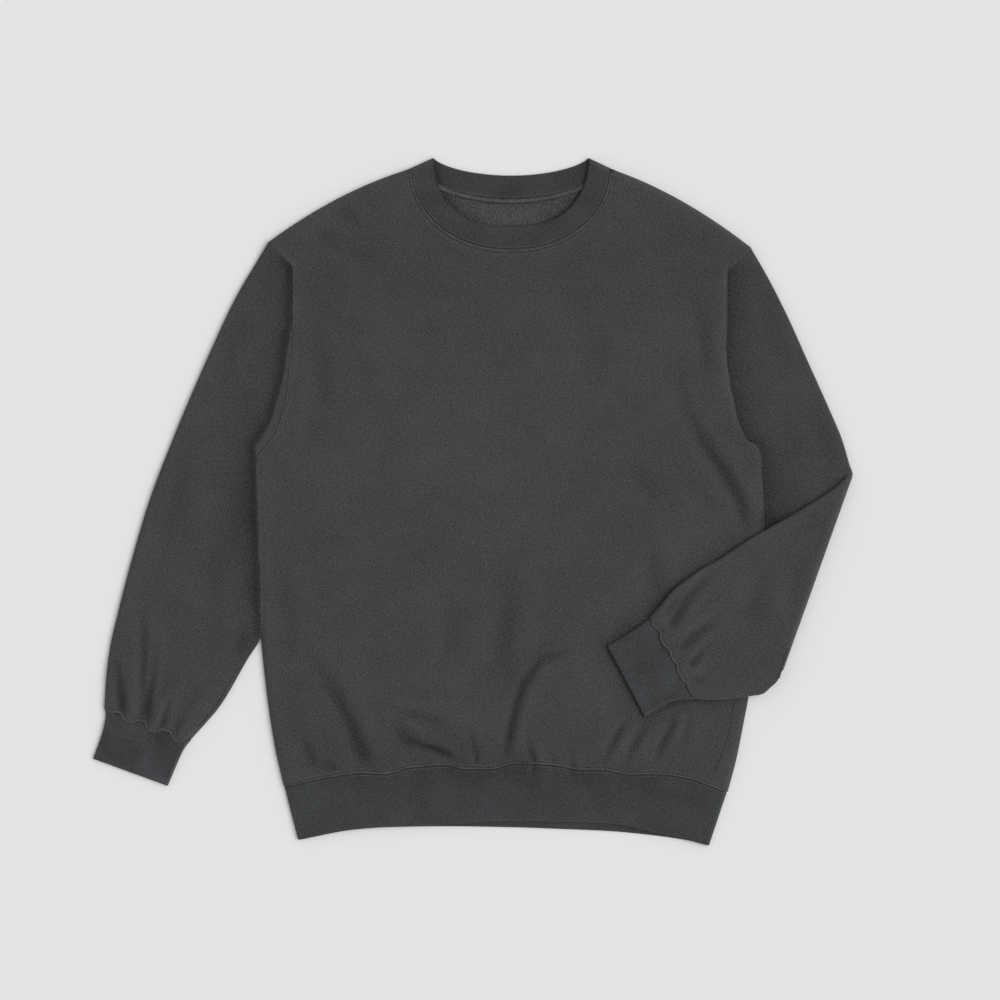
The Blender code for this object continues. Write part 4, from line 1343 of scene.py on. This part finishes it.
def make_room():
    """A pale floor, soft light from all round, one soft key light and a camera looking down."""
    bpy.ops.mesh.primitive_plane_add(size=30.0, location=(0.0, 0.0, 0.0))
    floor = bpy.context.object
    floor.name = "floor"
    floor.data.materials.append(plain("pale floor", FLOOR_GREY, 0.9))
    world = bpy.data.worlds.new("studio")
    bpy.context.scene.world = world
    world.use_nodes = True
    tree = world.node_tree
    background = tree.nodes["Background"]
    background.inputs["Color"].default_value = (1.0, 1.0, 1.0, 1.0)
    seen = add_node(tree, "ShaderNodeLightPath").outputs["Is Camera Ray"]
    strength = add_node(tree, "ShaderNodeMapRange", {"Value": seen, "To Min": ROUND_LIGHT,
                                                     "To Max": ROUND_LIGHT_SEEN})
    tree.links.new(strength.outputs[0], background.inputs["Strength"])
    bpy.ops.object.light_add(type="SUN", location=(1.0, -1.2, 2.0), rotation=KEY_TURN)
    key = bpy.context.object
    key.name = "key_light"
    key.data.energy = KEY_ENERGY
    key.data.angle = KEY_SOFTNESS
    bpy.ops.object.camera_add(location=CAMERA_PLACE, rotation=(0.0, 0.0, 0.0))
    camera = bpy.context.object
    camera.data.lens = CAMERA_LENS
    camera.data.sensor_width = 36.0
    camera.data.clip_end = 100.0
    bpy.context.scene.camera = camera
    bpy.context.scene.view_settings.view_transform = "Standard"
    return floor


# Each node's slot, and the pieces that are sewn on its cloth
SEWN_ON = {
    "front": ("fleece", ["neck_seam", "hem_seam", "neck_stitches", "hem_stitches",
                         "armhole_seams", "armhole_stitches", "side_seam_shadow_line"]),
    "back": ("fleece", ["inside_neck_seam", "inside_neck_loops", "inside_neck_shadow_lines"]),
    "sleeve_straight": ("fleece", ["cuff_seam_straight", "underarm_shadow_line"]),
    "sleeve_folded": ("fleece", ["cuff_seam_folded"]),
    "cuff_straight": ("rib", ["cuff_shadow_lines"]),
    "cuff_folded": ("rib", ["cuff_shadow_line_folded"]),
    "hem_band": ("rib", ["hem_shadow_line"]),
    "collar": ("rib", ["neck_seam_shadow_line", "collar_join", "inside_rib_edge"]),
}


def main():
    """Build every piece, attach each to the root, hide the CAD part it stands for, and set up the
    room.
    """
    nap = nap_group()
    looks = {name: fabric(name, nap, *row) for name, row in CLOTHS.items()}
    fleece, rib, cuff_rib = looks["fleece"], looks["rib"], looks["cuff rib"]
    front, back = make_front(fleece), make_back(looks["brushed inside"])
    straight, straight_plan = make_straight_sleeve(fleece)
    folded, folded_seam = make_folded_sleeve(fleece)
    cuff_straight = make_cuff("cuff_straight", STRAIGHT_CUFF, UNDERSIDE, RIB_TOP, 80, cuff_rib,
                              True)
    cuff_folded = make_cuff("cuff_folded", FOLDED_CUFF, FOLDED_BASE, FOLDED_BASE + CUFF_HEIGHT,
                            90, cuff_rib, False)
    hem_band, hem_top = make_hem_band(rib)
    collar = make_collar(rib)
    make_seams(looks, straight_plan, folded_seam)
    make_stitches(looks["thread"], hem_top)

    sewn_on = {}
    for node, (slot, names) in SEWN_ON.items():
        sewn_on[node] = [bpy.data.objects[name] for name in names]
        for piece in [bpy.data.objects[node + "_cloth"]] + sewn_on[node]:
            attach(piece, "root")
            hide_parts(node)

    make_room()


main()
